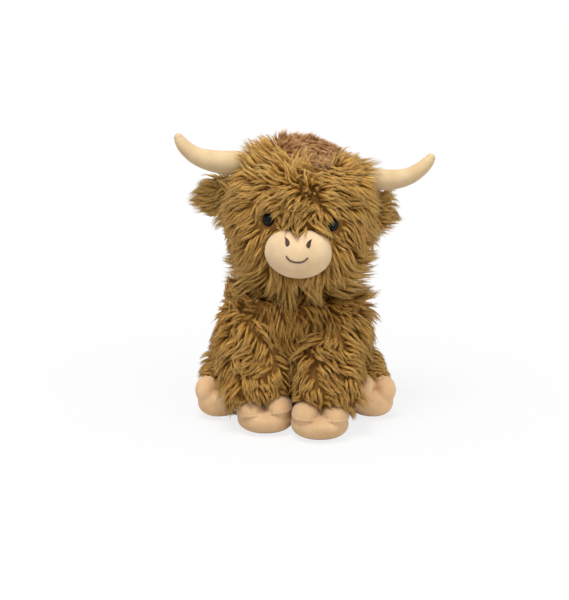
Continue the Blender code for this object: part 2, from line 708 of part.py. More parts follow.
def make_body(body, plug_cut, tail_cuts):
    inside = body_mesh(BODY_HOLLOW_SEGMENTS, False)
    opening = cylinder(
        "base_opening",
        (0, BODY_SETBACK),
        BASE_HALF_WIDTH,
        BASE_HALF_DEPTH,
        -OVERRUN,
        BODY_WALL + OVERRUN / 2,
        BODY_SEGMENTS,
    )
    hollow = cutter("body_hollow", grown(inside, -BODY_WALL))
    base_opening = cutter("base_opening", opening)
    piece("body_cover", body.copy(), FUR, cuts=[hollow, base_opening, plug_cut] + tail_cuts)
    panel = cylinder(
        "panel",
        (0, BODY_SETBACK),
        BASE_HALF_WIDTH - GAP,
        BASE_HALF_DEPTH - GAP,
        0,
        BASE_PANEL_THICKNESS,
        BODY_SEGMENTS,
    )
    piece("base_panel", panel, BASE_FABRIC)
    filling = grown(inside, -BODY_WALL - GAP)
    below = cylinder(
        "below",
        (0, BODY_SETBACK),
        BODY_HALF_WIDTH,
        BODY_HALF_DEPTH,
        -OVERRUN,
        BEAN_BAG_TOP,
        BODY_SEGMENTS,
    )
    foot = cylinder(
        "foot",
        (0, BODY_SETBACK),
        BASE_HALF_WIDTH - GAP,
        BASE_HALF_DEPTH - GAP,
        BASE_PANEL_THICKNESS + GAP,
        BODY_WALL + OVERRUN / 2,
        BODY_SEGMENTS,
    )
    limit = cutter("bean_bag_limit", below)
    piece("bean_bag", filling, PELLET_BAG, joined=[cutter("bean_bag_foot", foot)], within=[limit])
    piece("body_stuffing", filling.copy(), FILLING, cuts=[cutter("bean_bag_room", grown(below, GAP)), plug_cut])


def front_leg_places(name, side):
    shoulder = Vector(
        (
            side * SHOULDER_SIDE_SHARE * BODY_HALF_WIDTH,
            BODY_SETBACK - SHOULDER_FORWARD_SHARE * BODY_HALF_DEPTH,
            SHOULDER_HEIGHT_SHARE * NECK_HEIGHT,
        )
    )
    ankle = Vector(
        (
            side * FRONT_ANKLE_SIDE_SHARES[name] * BODY_HALF_WIDTH,
            BODY_SETBACK - BODY_HALF_DEPTH - FRONT_ANKLE_AHEAD[name],
            FRONT_ANKLE_HEIGHT,
        )
    )
    return shoulder, ankle


def make_hoof(kind, name, half, place, joint, cuts):
    """A short-pile hoof, its filling and the thread in its cleft. It is pressed flat on the floor."""
    outer = hoof_mesh("hoof", half, 0, HOOF_SEGMENTS, HOOF_RINGS)
    meshes = {
        "cover": outer,
        "hollow": hoof_mesh("hollow", half, HOOF_WALL, HOOF_HOLLOW_SEGMENTS, HOOF_HOLLOW_RINGS),
        "stuffing": hoof_mesh("stuffing", half, HOOF_WALL + GAP, HOOF_HOLLOW_SEGMENTS, HOOF_HOLLOW_RINGS),
        "stitch": stitch_mesh("stitch", half),
        "room": hoof_mesh("room", half, -GAP, HOOF_SEGMENTS, HOOF_RINGS),
    }
    lowest = min((place @ vertex.co).z for vertex in outer.vertices)
    down = Matrix.Translation((0, 0, -lowest - HOOF_PRESS))
    for mesh in meshes.values():
        mesh.transform(down @ place)
    hollow = cutter(f"{kind}_hoof_hollow_{name}", meshes["hollow"], joint)
    label = f"{kind}_hoof_{{}}_{name}"
    piece(label.format("cover"), outer, SHORT_PILE, joint, cuts=[hollow] + cuts)
    piece(label.format("stuffing"), meshes["stuffing"], FILLING, joint, cuts=cuts)
    piece(label.format("stitch"), meshes["stitch"], SEWING_THREAD, joint, cuts=cuts)
    return cutter(f"{kind}_hoof_room_{name}", meshes["room"], joint)


def make_front_leg(name, side, body_room, floor):
    shoulder, ankle = front_leg_places(name, side)
    top = shoulder + Vector((0, 0, FRONT_LEG_HALF_DEPTH))
    joint = empty(f"front_leg_joint_{name}", Matrix.Translation(top))
    leg = limb_mesh(
        "front_leg", shoulder, ankle, FRONT_LEG_HALF_WIDTH, FRONT_LEG_HALF_DEPTH, FRONT_LEG_SHARES
    )
    hollow = cutter(f"front_leg_hollow_{name}", grown(leg, -FRONT_LEG_WALL), joint)
    filling = grown(leg, -FRONT_LEG_WALL - GAP)
    leg_room = cutter(f"front_leg_{name}", grown(leg, GAP), joint)
    swing_room = cutter(f"front_leg_swing_{name}", grown(leg, SWING_GAP), joint)
    piece(f"front_leg_cover_{name}", leg, FUR, joint, cuts=[hollow, body_room])
    piece(f"front_leg_stuffing_{name}", filling, FILLING, joint, cuts=[body_room])
    half = Vector((FRONT_HOOF_HALF_WIDTH, FRONT_HOOF_HALF_LENGTH, FRONT_HOOF_HALF_HEIGHT))
    place = Matrix.Translation(ankle + Vector((-side * FRONT_HOOF_INWARD[name], -FRONT_HOOF_AHEAD, 0)))
    hoof_room = make_hoof("front", name, half, place, joint, [leg_room, body_room, floor])
    return [swing_room, hoof_room]


def make_hind_leg(name, side, body_room, floor, front_rooms):
    haunch_height = HAUNCH_HALF_HEIGHT + HIND_LEG_FLOOR_GAP
    haunch = Vector(
        (
            side * HAUNCH_SIDE_SHARES[name] * BODY_HALF_WIDTH,
            BODY_SETBACK + HAUNCH_BACK_SHARE * BODY_HALF_DEPTH,
            haunch_height,
        )
    )
    ankle_height = HIND_LEG_SHARES[-1][1] * HAUNCH_HALF_HEIGHT + HIND_LEG_FLOOR_GAP
    ankle = Vector(
        (
            side * HIND_ANKLE_SIDE_SHARES[name] * BODY_HALF_WIDTH,
            BODY_SETBACK - HIND_ANKLE_FORWARD_SHARE * BODY_HALF_DEPTH,
            ankle_height,
        )
    )
    back = haunch + Vector((-side * HIND_LEG_HALF_WIDTH / 2, HAUNCH_HALF_HEIGHT, 0))
    joint = empty(f"hind_leg_joint_{name}", Matrix.Translation(back))
    leg = limb_mesh("hind_leg", haunch, ankle, HIND_LEG_HALF_WIDTH, HAUNCH_HALF_HEIGHT, HIND_LEG_SHARES)
    hollow = cutter(f"hind_leg_hollow_{name}", grown(leg, -HIND_LEG_WALL), joint)
    filling = grown(leg, -HIND_LEG_WALL - GAP)
    leg_room = cutter(f"hind_leg_{name}", grown(leg, GAP), joint)
    around = [body_room] + front_rooms
    piece(f"hind_leg_cover_{name}", leg, FUR, joint, cuts=[hollow, floor] + around)
    piece(f"hind_leg_stuffing_{name}", filling, FILLING, joint, cuts=around)
    half = Vector((HIND_HOOF_HALF_WIDTH, HIND_HOOF_HALF_LENGTH, HIND_HOOF_HALF_THICKNESS))
    spot = ankle + Vector((side * HIND_HOOF_OUT, -HIND_HOOF_AHEAD, 0))
    turn = (
        Matrix.Rotation(side * HIND_HOOF_YAW, 4, "Z")
        @ Matrix.Rotation(-side * HIND_HOOF_ROLL, 4, "Y")
        @ Matrix.Rotation(-math.pi / 2, 4, "X")
    )
    make_hoof("hind", name, half, Matrix.Translation(spot) @ turn, joint, [leg_room, floor] + around)


def main():
    clear_scene()
    neck = empty("neck_joint", Matrix.Translation(NECK_CENTRE))
    seam = empty("neck_seam_joint", Matrix.Translation(NECK_CENTRE))
    head = empty("head_joint", Matrix.Translation(NECK_CENTRE) @ Matrix.Rotation(HEAD_ROLL, 4, "Y"))
    make_head(head)
    plug_cut = make_neck(neck, seam)
    body = body_mesh(BODY_SEGMENTS, True)
    tail_cuts = make_tail()
    make_body(body, plug_cut, tail_cuts)
    body_room = cutter("body_room", grown(body, SWING_GAP))
    wide = BODY_HALF_WIDTH + BODY_HALF_DEPTH + OVERRUN
    floor = cutter("floor", cylinder("floor", (0, 0), wide, wide, -wide, 0, THREAD_SIDES))
    for name, side in SIDES.items():
        front_rooms = make_front_leg(name, side, body_room, floor)
        make_hind_leg(name, side, body_room, floor, front_rooms)


main()
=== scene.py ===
"""The looks of a seated plush cow with long hair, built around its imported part.

Metres, +Z up. The front is -Y, and the toy's own left is +X, which is the right side of the picture.
All hair is one strand shape laid along combed paths. A lock is a few strands that start apart and run to one point.
"""

import math
from itertools import product

import bmesh
import bpy
import numpy as np
from mathutils import Matrix, Vector
from mathutils.bvhtree import BVHTree


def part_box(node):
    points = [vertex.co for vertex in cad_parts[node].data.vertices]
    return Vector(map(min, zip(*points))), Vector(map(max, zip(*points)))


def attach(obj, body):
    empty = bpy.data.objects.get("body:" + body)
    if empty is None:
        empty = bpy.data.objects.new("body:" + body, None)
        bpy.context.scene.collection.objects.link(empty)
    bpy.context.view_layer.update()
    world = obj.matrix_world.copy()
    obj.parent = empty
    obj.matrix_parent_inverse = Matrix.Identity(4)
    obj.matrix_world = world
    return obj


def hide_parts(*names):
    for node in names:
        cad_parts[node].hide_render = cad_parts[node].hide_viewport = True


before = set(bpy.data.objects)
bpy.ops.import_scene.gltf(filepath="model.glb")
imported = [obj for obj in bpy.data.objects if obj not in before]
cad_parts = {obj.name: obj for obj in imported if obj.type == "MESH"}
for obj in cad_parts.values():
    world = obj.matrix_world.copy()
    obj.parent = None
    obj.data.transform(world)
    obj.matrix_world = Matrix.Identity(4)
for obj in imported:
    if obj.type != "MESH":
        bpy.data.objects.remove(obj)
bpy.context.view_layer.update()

SIDES = {"left": 1, "right": -1}
X, Y, Z = range(3)
DOWN = np.array((0, 0, -1.0))

# Places that the part gives
NECK = Vector((0, -0.012, 0.130))
HEAD_ROLL = math.radians(4.5)
HEAD_PLACE = Matrix.Translation(NECK) @ Matrix.Rotation(HEAD_ROLL, 4, "Y")
HEAD_TURN = HEAD_PLACE.to_3x3()
HEAD_CENTRE = Vector((0, -0.008, 0.08393))
HEAD_HALF = Vector((0.074, 0.067, 0.077))
MUZZLE_HALF = Vector((0.0338, 0.026, 0.0238))
MUZZLE_CENTRE = HEAD_CENTRE + Vector((0, -0.97 * HEAD_HALF.y, -0.368 * HEAD_HALF.z))

rng = np.random.default_rng(3052)


def linear(colour):
    """A screen colour, 0 to 255 a channel, as the linear values that a shader takes."""
    values = []
    for channel in colour:
        share = channel / 255
        values.append(share / 12.92 if share <= 0.04045 else ((share + 0.055) / 1.055) ** 2.4)
    return (*values, 1)


def unit(vectors):
    return vectors / np.maximum(np.linalg.norm(vectors, axis=-1, keepdims=True), 1e-12)


def smoothstep(low, high, value):
    share = np.clip((value - low) / (high - low), 0, 1)
    return share * share * (3 - 2 * share)


def bell(value, width):
    """1 where the value is 0, falling smoothly to little a few widths away."""
    return np.exp(-((value / width) ** 2))


# Materials

WHITE = (1, 1, 1, 1)
FIBRE_SHADE = (0.70, 0.69, 0.66, 1)
FIBRE_SCALE = (260, 2.5, 1)
GRAIN_SHADE = (0.88, 0.87, 0.86, 1)
GRAIN_SCALE = 1500


def new_material(name):
    material = bpy.data.materials.new(name)
    material.use_nodes = True
    return material, material.node_tree, material.node_tree.nodes["Principled BSDF"]


def feed(tree, item, values):
    """Links or sets a node's inputs, each by its name or number."""
    for socket, value in values.items():
        if isinstance(value, bpy.types.NodeSocket):
            tree.links.new(value, item.inputs[socket])
        else:
            item.inputs[socket].default_value = value


def node(tree, kind, values=(), **settings):
    """A new node with its settings and inputs."""
    made = tree.nodes.new("ShaderNode" + kind)
    for key, value in settings.items():
        setattr(made, key, value)
    feed(tree, made, dict(values))
    return made


def ramp(tree, stops, factor):
    """A colour ramp with the given (place, colour) stops."""
    made = node(tree, "ValToRGB", {"Fac": factor})
    elements = made.color_ramp.elements
    while len(elements) < len(stops):
        elements.new(0.5)
    for element, (place, colour) in zip(elements, stops):
        element.position = place
        element.color = colour
    return made.outputs["Color"]


def blend_colours(tree, factor, first, second, kind="MIX"):
    colours = {0: factor, 6: first, 7: second}
    return node(tree, "Mix", colours, data_type="RGBA", blend_type=kind).outputs[2]


def noise(tree, vector, scale, detail=2):
    return node(tree, "TexNoise", {"Vector": vector, "Scale": scale, "Detail": detail}).outputs["Fac"]


def hair_material(name, dull, bright, roughness=0.5):
    """Hair that lightens from root to tip. The hair's own map gives each strand's tone across and its length up."""
    material, tree, shader = new_material(name)
    place = node(tree, "UVMap", uv_map="OFBake").outputs["UV"]
    split = node(tree, "SeparateXYZ", {0: place})
    tones = []
    for stops in (dull, bright):
        tones.append(ramp(tree, [(share, linear(colour)) for share, colour in stops], split.outputs["Y"]))
    colour = blend_colours(tree, split.outputs["X"], *tones)
    drawn = node(tree, "Mapping", {"Scale": FIBRE_SCALE, "Vector": place}).outputs["Vector"]
    fibres = ramp(tree, ((0.35, FIBRE_SHADE), (0.65, WHITE)), noise(tree, drawn, 1, 1))
    colour = blend_colours(tree, 1.0, colour, fibres, "MULTIPLY")
    feed(tree, shader, {"Base Color": colour, "Roughness": roughness, "Specular IOR Level": 0.35})
    return material


def pile_group():
    """Short velvet pile: soft patches of tone where the pile lies over, and a fine grain to bump."""
    group = bpy.data.node_groups.new("short_pile", "ShaderNodeTree")
    for name, kind in (("Light", "Color"), ("Deep", "Color"), ("Patch", "Float")):
        group.interface.new_socket(name, in_out="INPUT", socket_type="NodeSocket" + kind)
    for name, kind in (("Colour", "Color"), ("Grain", "Float")):
        group.interface.new_socket(name, in_out="OUTPUT", socket_type="NodeSocket" + kind)
    given = group.nodes.new("NodeGroupInput").outputs
    place = node(group, "TexCoord").outputs["Object"]
    patches = noise(group, place, given["Patch"], 4)
    fine = noise(group, place, GRAIN_SCALE)
    spread = node(group, "MapRange", {"Value": patches, "From Min": 0.35, "From Max": 0.65}).outputs["Result"]
    base = blend_colours(group, spread, given["Deep"], given["Light"])
    grain = ramp(group, ((0.3, GRAIN_SHADE), (0.7, WHITE)), fine)
    colour = blend_colours(group, 1.0, base, grain, "MULTIPLY")
    feed(group, group.nodes.new("NodeGroupOutput"), {"Colour": colour, "Grain": fine})
    return group


PILE = pile_group()


def pile_material(name, light, deep, patch=60, sheen=0.25):
    material, tree, shader = new_material(name)
    pile = tree.nodes.new("ShaderNodeGroup")
    pile.node_tree = PILE
    feed(tree, pile, {"Light": linear(light), "Deep": linear(deep), "Patch": patch})
    bump = node(tree, "Bump", {"Strength": 0.25, "Distance": 0.0003, "Height": pile.outputs["Grain"]})
    feed(tree, shader, {"Base Color": pile.outputs["Colour"], "Normal": bump.outputs["Normal"], "Roughness": 0.85})
    feed(tree, shader, {"Sheen Weight": sheen, "Sheen Roughness": 0.4, "Specular IOR Level": 0.2})
    return material


def speckled_material(name, light, dark, scale, roughness, low=0.3, specular=0.5):
    """Thread or plastic of two near tones."""
    material, tree, shader = new_material(name)
    specks = noise(tree, node(tree, "TexCoord").outputs["Object"], scale)
    colour = ramp(tree, ((low, linear(dark)), (0.7, linear(light))), specks)
    feed(tree, shader, {"Base Color": colour, "Roughness": roughness, "Specular IOR Level": specular})
    return material


FUR = hair_material(
    "fur",
    ((0.0, (136, 93, 34)), (0.25, (172, 122, 47)), (0.65, (200, 148, 65)), (1.0, (220, 174, 97))),
    ((0.0, (170, 121, 50)), (0.25, (210, 159, 74)), (0.65, (238, 192, 105)), (1.0, (248, 216, 148))),
)
CROWN_FUR = hair_material(
    "crown_fur",
    ((0.0, (184, 134, 82)), (0.4, (206, 155, 98)), (1.0, (216, 167, 112))),
    ((0.0, (206, 155, 100)), (0.4, (226, 178, 122)), (1.0, (236, 194, 142))),
    roughness=0.6,
)
BACKING = pile_material("fur_backing", (134, 93, 40), (112, 76, 32), sheen=0)
CROWN_BACKING = pile_material("crown_backing", (204, 152, 104), (186, 136, 90), sheen=0)
MUZZLE_PILE = pile_material("muzzle_pile", (222, 194, 155), (210, 181, 141))
HOOF_PILE = pile_material("hoof_pile", (210, 175, 133), (197, 160, 118))
# A lighter copy of the hoof fabric for the hind hooves: painted light where the fur above shades them
HIND_HOOF_PAINTED_LIGHT_PILE = pile_material("hind_hoof_painted_light_pile", (228, 189, 144), (214, 174, 129))
HORN_PILE = pile_material("horn_pile", (212, 187, 146), (202, 175, 134))
FILLING = pile_material("filling", (232, 228, 220), (214, 210, 202), patch=90)
BASE_CLOTH = pile_material("base_cloth", (96, 64, 34), (78, 50, 26), patch=200, sheen=0)
EMBROIDERY = speckled_material("embroidery", (96, 62, 44), (44, 26, 18), 900, 0.45, low=0.35)
SEAM_THREAD = speckled_material("seam_thread", (110, 76, 38), (84, 54, 24), 900, 0.45, low=0.35)
EYE_GLOSS = speckled_material("eye_gloss", (12, 12, 15), (6, 6, 8), 300, 0.12, specular=0.16)
WASHER_PLASTIC = speckled_material("washer_plastic", (226, 224, 218), (212, 210, 204), 400, 0.4)


# Pieces


def show(name, mesh, body, material, replaced=()):
    """A finished piece of the toy, on the body that it moves with."""
    obj = bpy.data.objects.new(name, mesh)
    bpy.context.scene.collection.objects.link(obj)
    mesh.materials.clear()
    mesh.materials.append(material)
    mesh.shade_smooth()
    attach(obj, body)
    if replaced:
        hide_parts(*replaced)
    return obj


def mesh_from(shape, name):
    mesh = bpy.data.meshes.new(name)
    shape.to_mesh(mesh)
    shape.free()
    return mesh


def with_modifiers(mesh, *settings):
    """The mesh after the given modifiers, each a kind and its values."""
    obj = bpy.data.objects.new("work", mesh)
    bpy.context.scene.collection.objects.link(obj)
    for kind, values in settings:
        modifier = obj.modifiers.new(kind.lower(), kind)
        for key, value in values.items():
            setattr(modifier, key, value)
    result = bpy.data.meshes.new_from_object(obj.evaluated_get(bpy.context.evaluated_depsgraph_get()))
    bpy.data.objects.remove(obj)
    return result


def rounded(mesh, voxel, iterations):
    """One closed form round all that the mesh holds, smoothed over its joins."""
    return with_modifiers(
        mesh,
        ("REMESH", {"mode": "VOXEL", "voxel_size": voxel, "adaptivity": 0}),
        ("SMOOTH", {"factor": 0.5, "iterations": iterations}),
    )


def pad_mesh(nodes, voxel):
    """One soft form in the space that the named solids hold together."""
    shape = bmesh.new()
    for name in nodes:
        shape.from_mesh(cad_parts[name].data)
    bmesh.ops.remove_doubles(shape, verts=shape.verts, dist=1e-6)
    return rounded(mesh_from(shape, "pad"), voxel, 3)


def rows_of(items, key, kind=np.float32):
    values = np.empty(len(items) * 3, kind)
    items.foreach_get(key, values)
    return values.reshape(-1, 3)


def arrays(mesh):
    """A mesh's corners, its triangles and the normal at each corner."""
    mesh.calc_loop_triangles()
    corners = rows_of(mesh.vertices, "co").astype(float)
    normals = rows_of(mesh.vertex_normals, "vector").astype(float)
    return corners, rows_of(mesh.loop_triangles, "vertices", np.int32), normals


# The body of each pad, and the nodes that it stands for
PADS = {
    "body": ("body", ["body_cover", "body_stuffing", "bean_bag"]),
    "head": ("head", ["head_cover", "head_stuffing"]),
    "crown": ("head", ["crown_panel"]),
    "tail": ("tail", ["tail_cover"]),
    "tuft": ("tail", ["tail_tuft"]),
    "neck": ("neck", ["neck_stuffing"]),
    "base": ("body", ["base_panel"]),
}
for leg_side, leg_kind in product(SIDES, ("front", "hind")):
    leg_nodes = [f"{leg_kind}_leg_{part}_{leg_side}" for part in ("cover", "stuffing")]
    PADS[f"{leg_kind}_leg_{leg_side}"] = (f"{leg_kind}_leg_{leg_side}", leg_nodes)
PADS["ear_left"] = ("ear_left", ["ear_left"])
PADS["ear_right"] = ("ear_right", ["ear_right"])

PAD_FINISHES = {
    "crown": ("crown_fur", CROWN_BACKING),
    "neck": ("filling", FILLING),
    "base": ("base_fabric", BASE_CLOTH),
}
PAD_VOXEL = 0.003
SMALL_VOXEL = 0.0015
SMALL_PADS = ("crown", "tail", "tuft", "ear_left", "ear_right")
BASE_VOXEL = 0.0012

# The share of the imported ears' length that the pads under the ears' hair have
EAR_SHARES = {"ear_left": 0.80, "ear_right": 0.92}


def ear_root(name):
    """How far across an ear is sewn on."""
    low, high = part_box(name)
    return low.x if name == "ear_left" else high.x


def make_pad(name):
    body, nodes = PADS[name]
    voxel = BASE_VOXEL if name == "base" else SMALL_VOXEL if name in SMALL_PADS else PAD_VOXEL
    mesh = pad_mesh(nodes, voxel)
    if name in EAR_SHARES:
        root = ear_root(name)
        for vertex in mesh.vertices:
            vertex.co.x = root + (vertex.co.x - root) * EAR_SHARES[name]
    slot, material = PAD_FINISHES.get(name, ("fur", BACKING))
    return show(f"{name}_pad", mesh, body, material, nodes)


pad_pieces = {name: make_pad(name) for name in PADS}


def without_pad(mesh, pad):
    """The mesh with the room of a pad cut out of it, so that the two don't lie in each other."""
    return with_modifiers(mesh, ("BOOLEAN", {"operation": "DIFFERENCE", "solver": "EXACT", "object": pad_pieces[pad]}))


# Muzzle

# How square its upper half is, how much wider and higher than its ball it is, and how much it narrows below
MUZZLE_POWER = 2.4
MUZZLE_STRETCH = (0.975, 1.07)
MUZZLE_TAPER = 0.05
# Place, width and depth of the dip in its upper edge
MUZZLE_DIP = (-0.08, 0.21, 0.17)
POLE = 0.05


def make_muzzle():
    """A plump oval, broader above than below, that dips in the middle of its upper edge."""
    dip_place, dip_width, dip_depth = MUZZLE_DIP
    shape = bmesh.new()
    bmesh.ops.create_uvsphere(shape, u_segments=96, v_segments=64, radius=1)
    for vertex in shape.verts:
        x, _, z = vertex.co
        rim = math.hypot(x, z)
        square = 1 / max(rim, POLE)
        if z > 0 and rim > POLE:
            square = (abs(x) ** MUZZLE_POWER + abs(z) ** MUZZLE_POWER) ** (-1 / MUZZLE_POWER)
        fuller = 1 + (square * rim - 1) * float(smoothstep(0.3, 0.9, rim))
        dip = float(bell(x - dip_place, dip_width) * smoothstep(0.35, 1.0, z))
        vertex.co.x *= MUZZLE_STRETCH[0] * fuller * (1 - MUZZLE_TAPER * max(0, -z))
        vertex.co.z *= fuller * (MUZZLE_STRETCH[1] if z > 0 else 1)
        vertex.co *= 1 - dip_depth * dip
    bmesh.ops.scale(shape, vec=MUZZLE_HALF, verts=shape.verts)
    bmesh.ops.transform(shape, matrix=HEAD_PLACE @ Matrix.Translation(MUZZLE_CENTRE), verts=shape.verts)
    mesh = without_pad(mesh_from(shape, "muzzle"), "head")
    return show("muzzle_pad", mesh, "head", MUZZLE_PILE, ["muzzle_cover", "muzzle_stuffing"])


muzzle_pad = make_muzzle()


# Hooves

HOOF_VOXEL = 0.0009
SOLE_POWER = 2.25
# Height, place and width of the seam's ridge and of the groove beside it, and of the puckers along it
SEAM_FOLDS = ((0.0008, 0.0004, 0.0010), (-0.0003, -0.0014, 0.0014))
PUCKER_HEIGHT = 0.0003
PUCKER_WIDTH = 0.0030
PUCKER_PACE = 42
# Width of the cleft between the toes, and how far it draws in and down
CLEFT_WIDTH = 0.0036
CLEFT_DEPTH = 0.0022
CLEFT_DROP = 0.0010
CLEFT_END = 0.003
# Radius and depth of the pinch where the stitch comes out
PINCH_RADIUS = 0.0046
PINCH_DEPTH = 0.0036


def hoof_form(sole, toes, notch, seam):
    """Two plump toes over a broad sole, each a centre and half sizes.

    A puckered fold runs where the seam's rule gives nought, and a stitch draws the front in between the toes, where
    their notch ends.
    """
    shape = bmesh.new()
    for index, (centre, half) in enumerate((sole, *toes)):
        made = bmesh.ops.create_uvsphere(shape, u_segments=64, v_segments=48, radius=1)
        if index == 0:
            for vertex in made["verts"]:
                vertex.co /= sum(abs(value) ** SOLE_POWER for value in vertex.co) ** (1 / SOLE_POWER)
        place = Matrix.Translation(centre) @ Matrix.Diagonal((*half, 1))
        bmesh.ops.transform(shape, matrix=place, verts=made["verts"])
    mesh = rounded(mesh_from(shape, "hoof"), HOOF_VOXEL, 14)
    corners, _, normals = arrays(mesh)
    middle, half = sole
    front = smoothstep(-0.1, 0.5, (middle[1] - corners[:, 1]) / half[1])
    off, along, share = seam(corners)
    fold = sum(height * bell(off - place, width) for height, place, width in SEAM_FOLDS)
    pucker = PUCKER_HEIGHT * np.sin(along * PUCKER_PACE) * bell(off, PUCKER_WIDTH)
    across = corners[:, 0] - notch[0]
    rise = corners[:, 2] - notch[1]
    cleft = bell(across, CLEFT_WIDTH) * smoothstep(-CLEFT_END, CLEFT_END, rise) * front
    pinch = bell(np.hypot(across, rise), PINCH_RADIUS) * front
    corners += normals * ((fold + pucker) * share)[:, None]
    corners[:, 1] += CLEFT_DEPTH * cleft + PINCH_DEPTH * pinch
    corners[:, 2] -= CLEFT_DROP * cleft
    mesh.vertices.foreach_set("co", corners.astype(np.float32).ravel())
    mesh.update()
    shape = bmesh.new()
    shape.from_mesh(mesh)
    return shape


def stand_flat(shape):
    """Cuts off what lies below the floor and closes the cut."""
    everything = shape.verts[:] + shape.edges[:] + shape.faces[:]
    bmesh.ops.bisect_plane(shape, geom=everything, plane_co=(0, 0, 0), plane_no=(0, 0, 1), clear_inner=True)
    bmesh.ops.holes_fill(shape, edges=[edge for edge in shape.edges if edge.is_boundary])


def show_hoof(kind, name, shape, material):
    mesh = without_pad(mesh_from(shape, "hoof"), f"{kind}_leg_{name}")
    parts = [f"{kind}_hoof_{part}_{name}" for part in ("cover", "stuffing", "stitch")]
    return show(f"{kind}_hoof_pad_{name}", mesh, f"{kind}_leg_{name}", material, parts)


FRONT_SOLE_HALF = Vector((0.0292, 0.0288, 0.0142))
FRONT_TOE_HALF = Vector((0.0146, 0.0228, 0.0136))
FRONT_TOE_PLACE = Vector((0.0143, -0.0024, 0.0100))
FRONT_ROLL = {"left": math.radians(2), "right": math.radians(-7)}
# How much of the sole is pressed flat, the seam's drop below the toes and its arch under each, and the notch's rise
FRONT_FLAT = 0.0010
FRONT_SEAM_DROP = 0.0016
FRONT_SEAM_ARCH = 0.0012
FRONT_NOTCH_RISE = 0.0010


def make_front_hoof(name):
    low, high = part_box(f"front_hoof_cover_{name}")
    half = FRONT_SOLE_HALF
    centre = Vector(((low.x + high.x) / 2, low.y + half.y, half.z - FRONT_FLAT))
    toes = []
    for way in (1, -1):
        offset = Matrix.Rotation(FRONT_ROLL[name], 3, "Y") @ Vector((way * FRONT_TOE_PLACE.x, 0, FRONT_TOE_PLACE.z))
        toes.append((centre + offset + Vector((0, FRONT_TOE_PLACE.y, 0)), FRONT_TOE_HALF))
    first, second = toes[0][0], toes[1][0]
    between = (first + second) / 2
    slope = (first.z - second.z) / (first.x - second.x)

    def seam(corners):
        across = corners[:, 0] - between.x
        arch = FRONT_SEAM_ARCH * np.sin(math.pi * np.clip(np.abs(across) / abs(first.x - second.x), 0, 1))
        off = corners[:, 2] - (between.z - FRONT_SEAM_DROP + slope * across + arch)
        around = np.arctan2(corners[:, 0] - centre.x, centre.y - corners[:, 1])
        return off, around, smoothstep(-0.1, 0.5, (centre.y - corners[:, 1]) / half.y)

    shape = hoof_form((centre, half), toes, (between.x, between.z + FRONT_NOTCH_RISE), seam)
    stand_flat(shape)
    return show_hoof("front", name, shape, HOOF_PILE)


HIND_SOLE_HALF = Vector((0.0245, 0.0125, 0.0165))
HIND_TOE_HALF = Vector((0.0138, 0.0132, 0.0150))
HIND_TOE_PLACE = Vector((0.0115, 0.0005, 0.0125))
HIND_NOTCH_DROP = 0.0035
HIND_SEAM_BACK = 0.0010
HIND_TURN = math.radians(16)
HIND_LEAN = math.radians(9)
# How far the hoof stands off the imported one's lowest corner: towards the body, back and up
HIND_SHIFT = 0.0018
HIND_BACK = 0.003
HIND_RISE = 0.0020


def make_hind_hoof(name, side):
    """A hoof turned up, so that its sole faces forward and its toes stand at the top, with its seam round its rim."""
    low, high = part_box(f"hind_hoof_cover_{name}")

    def seam(corners):
        around = np.arctan2(corners[:, 0], corners[:, 2])
        return corners[:, 1] - HIND_SEAM_BACK, around, np.ones(len(corners))

    toes = [(Vector((way * HIND_TOE_PLACE.x, HIND_TOE_PLACE.y, HIND_TOE_PLACE.z)), HIND_TOE_HALF) for way in (1, -1)]
    shape = hoof_form((Vector((0, 0, 0)), HIND_SOLE_HALF), toes, (0, HIND_SOLE_HALF.z - HIND_NOTCH_DROP), seam)
    turn = Matrix.Rotation(side * HIND_TURN, 4, "Z") @ Matrix.Rotation(side * HIND_LEAN, 4, "Y")
    bmesh.ops.transform(shape, matrix=turn, verts=shape.verts)
    lowest = Vector([min(vertex.co[axis] for vertex in shape.verts) for axis in range(3)])
    highest = Vector([max(vertex.co[axis] for vertex in shape.verts) for axis in range(3)])
    across = (low.x + high.x) / 2 - (lowest.x + highest.x) / 2 - side * HIND_SHIFT
    bmesh.ops.translate(shape, vec=(across, low.y + HIND_BACK - lowest.y, HIND_RISE - lowest.z), verts=shape.verts)
    # The hind hooves take the lighter copy of the hoof fabric: painted light
    return show_hoof("hind", name, shape, HIND_HOOF_PAINTED_LIGHT_PILE)


# Horns, eyes and stitches


def curve_through(points, count):
    """Evenly spread points on a smooth curve through the given ones, which may have any number of columns."""
    points = np.array(points, float)
    padded = np.vstack((2 * points[0] - points[1], points, 2 * points[-1] - points[-2]))
    result = []
    for place in np.linspace(0, len(points) - 1, count):
        index = min(int(place), len(points) - 2)
        t = place - index
        a, b, c, d = padded[index : index + 4]
        result.append(0.5 * (2 * b + (c - a) * t + (2 * a - 5 * b + 4 * c - d) * t**2 + (3 * b - a - 3 * c + d) * t**3))
    return np.array(result)


def extrude_rim(shape, rim):
    """Extrudes an open ring of edges where it is. Gives the new corners and edges."""
    made = bmesh.ops.extrude_edge_only(shape, edges=rim)["geom"]
    ring = [item for item in made if isinstance(item, bmesh.types.BMVert)]
    edges = [item for item in made if isinstance(item, bmesh.types.BMEdge)]
    return ring, [edge for edge in edges if edge.verts[0] in ring and edge.verts[1] in ring]


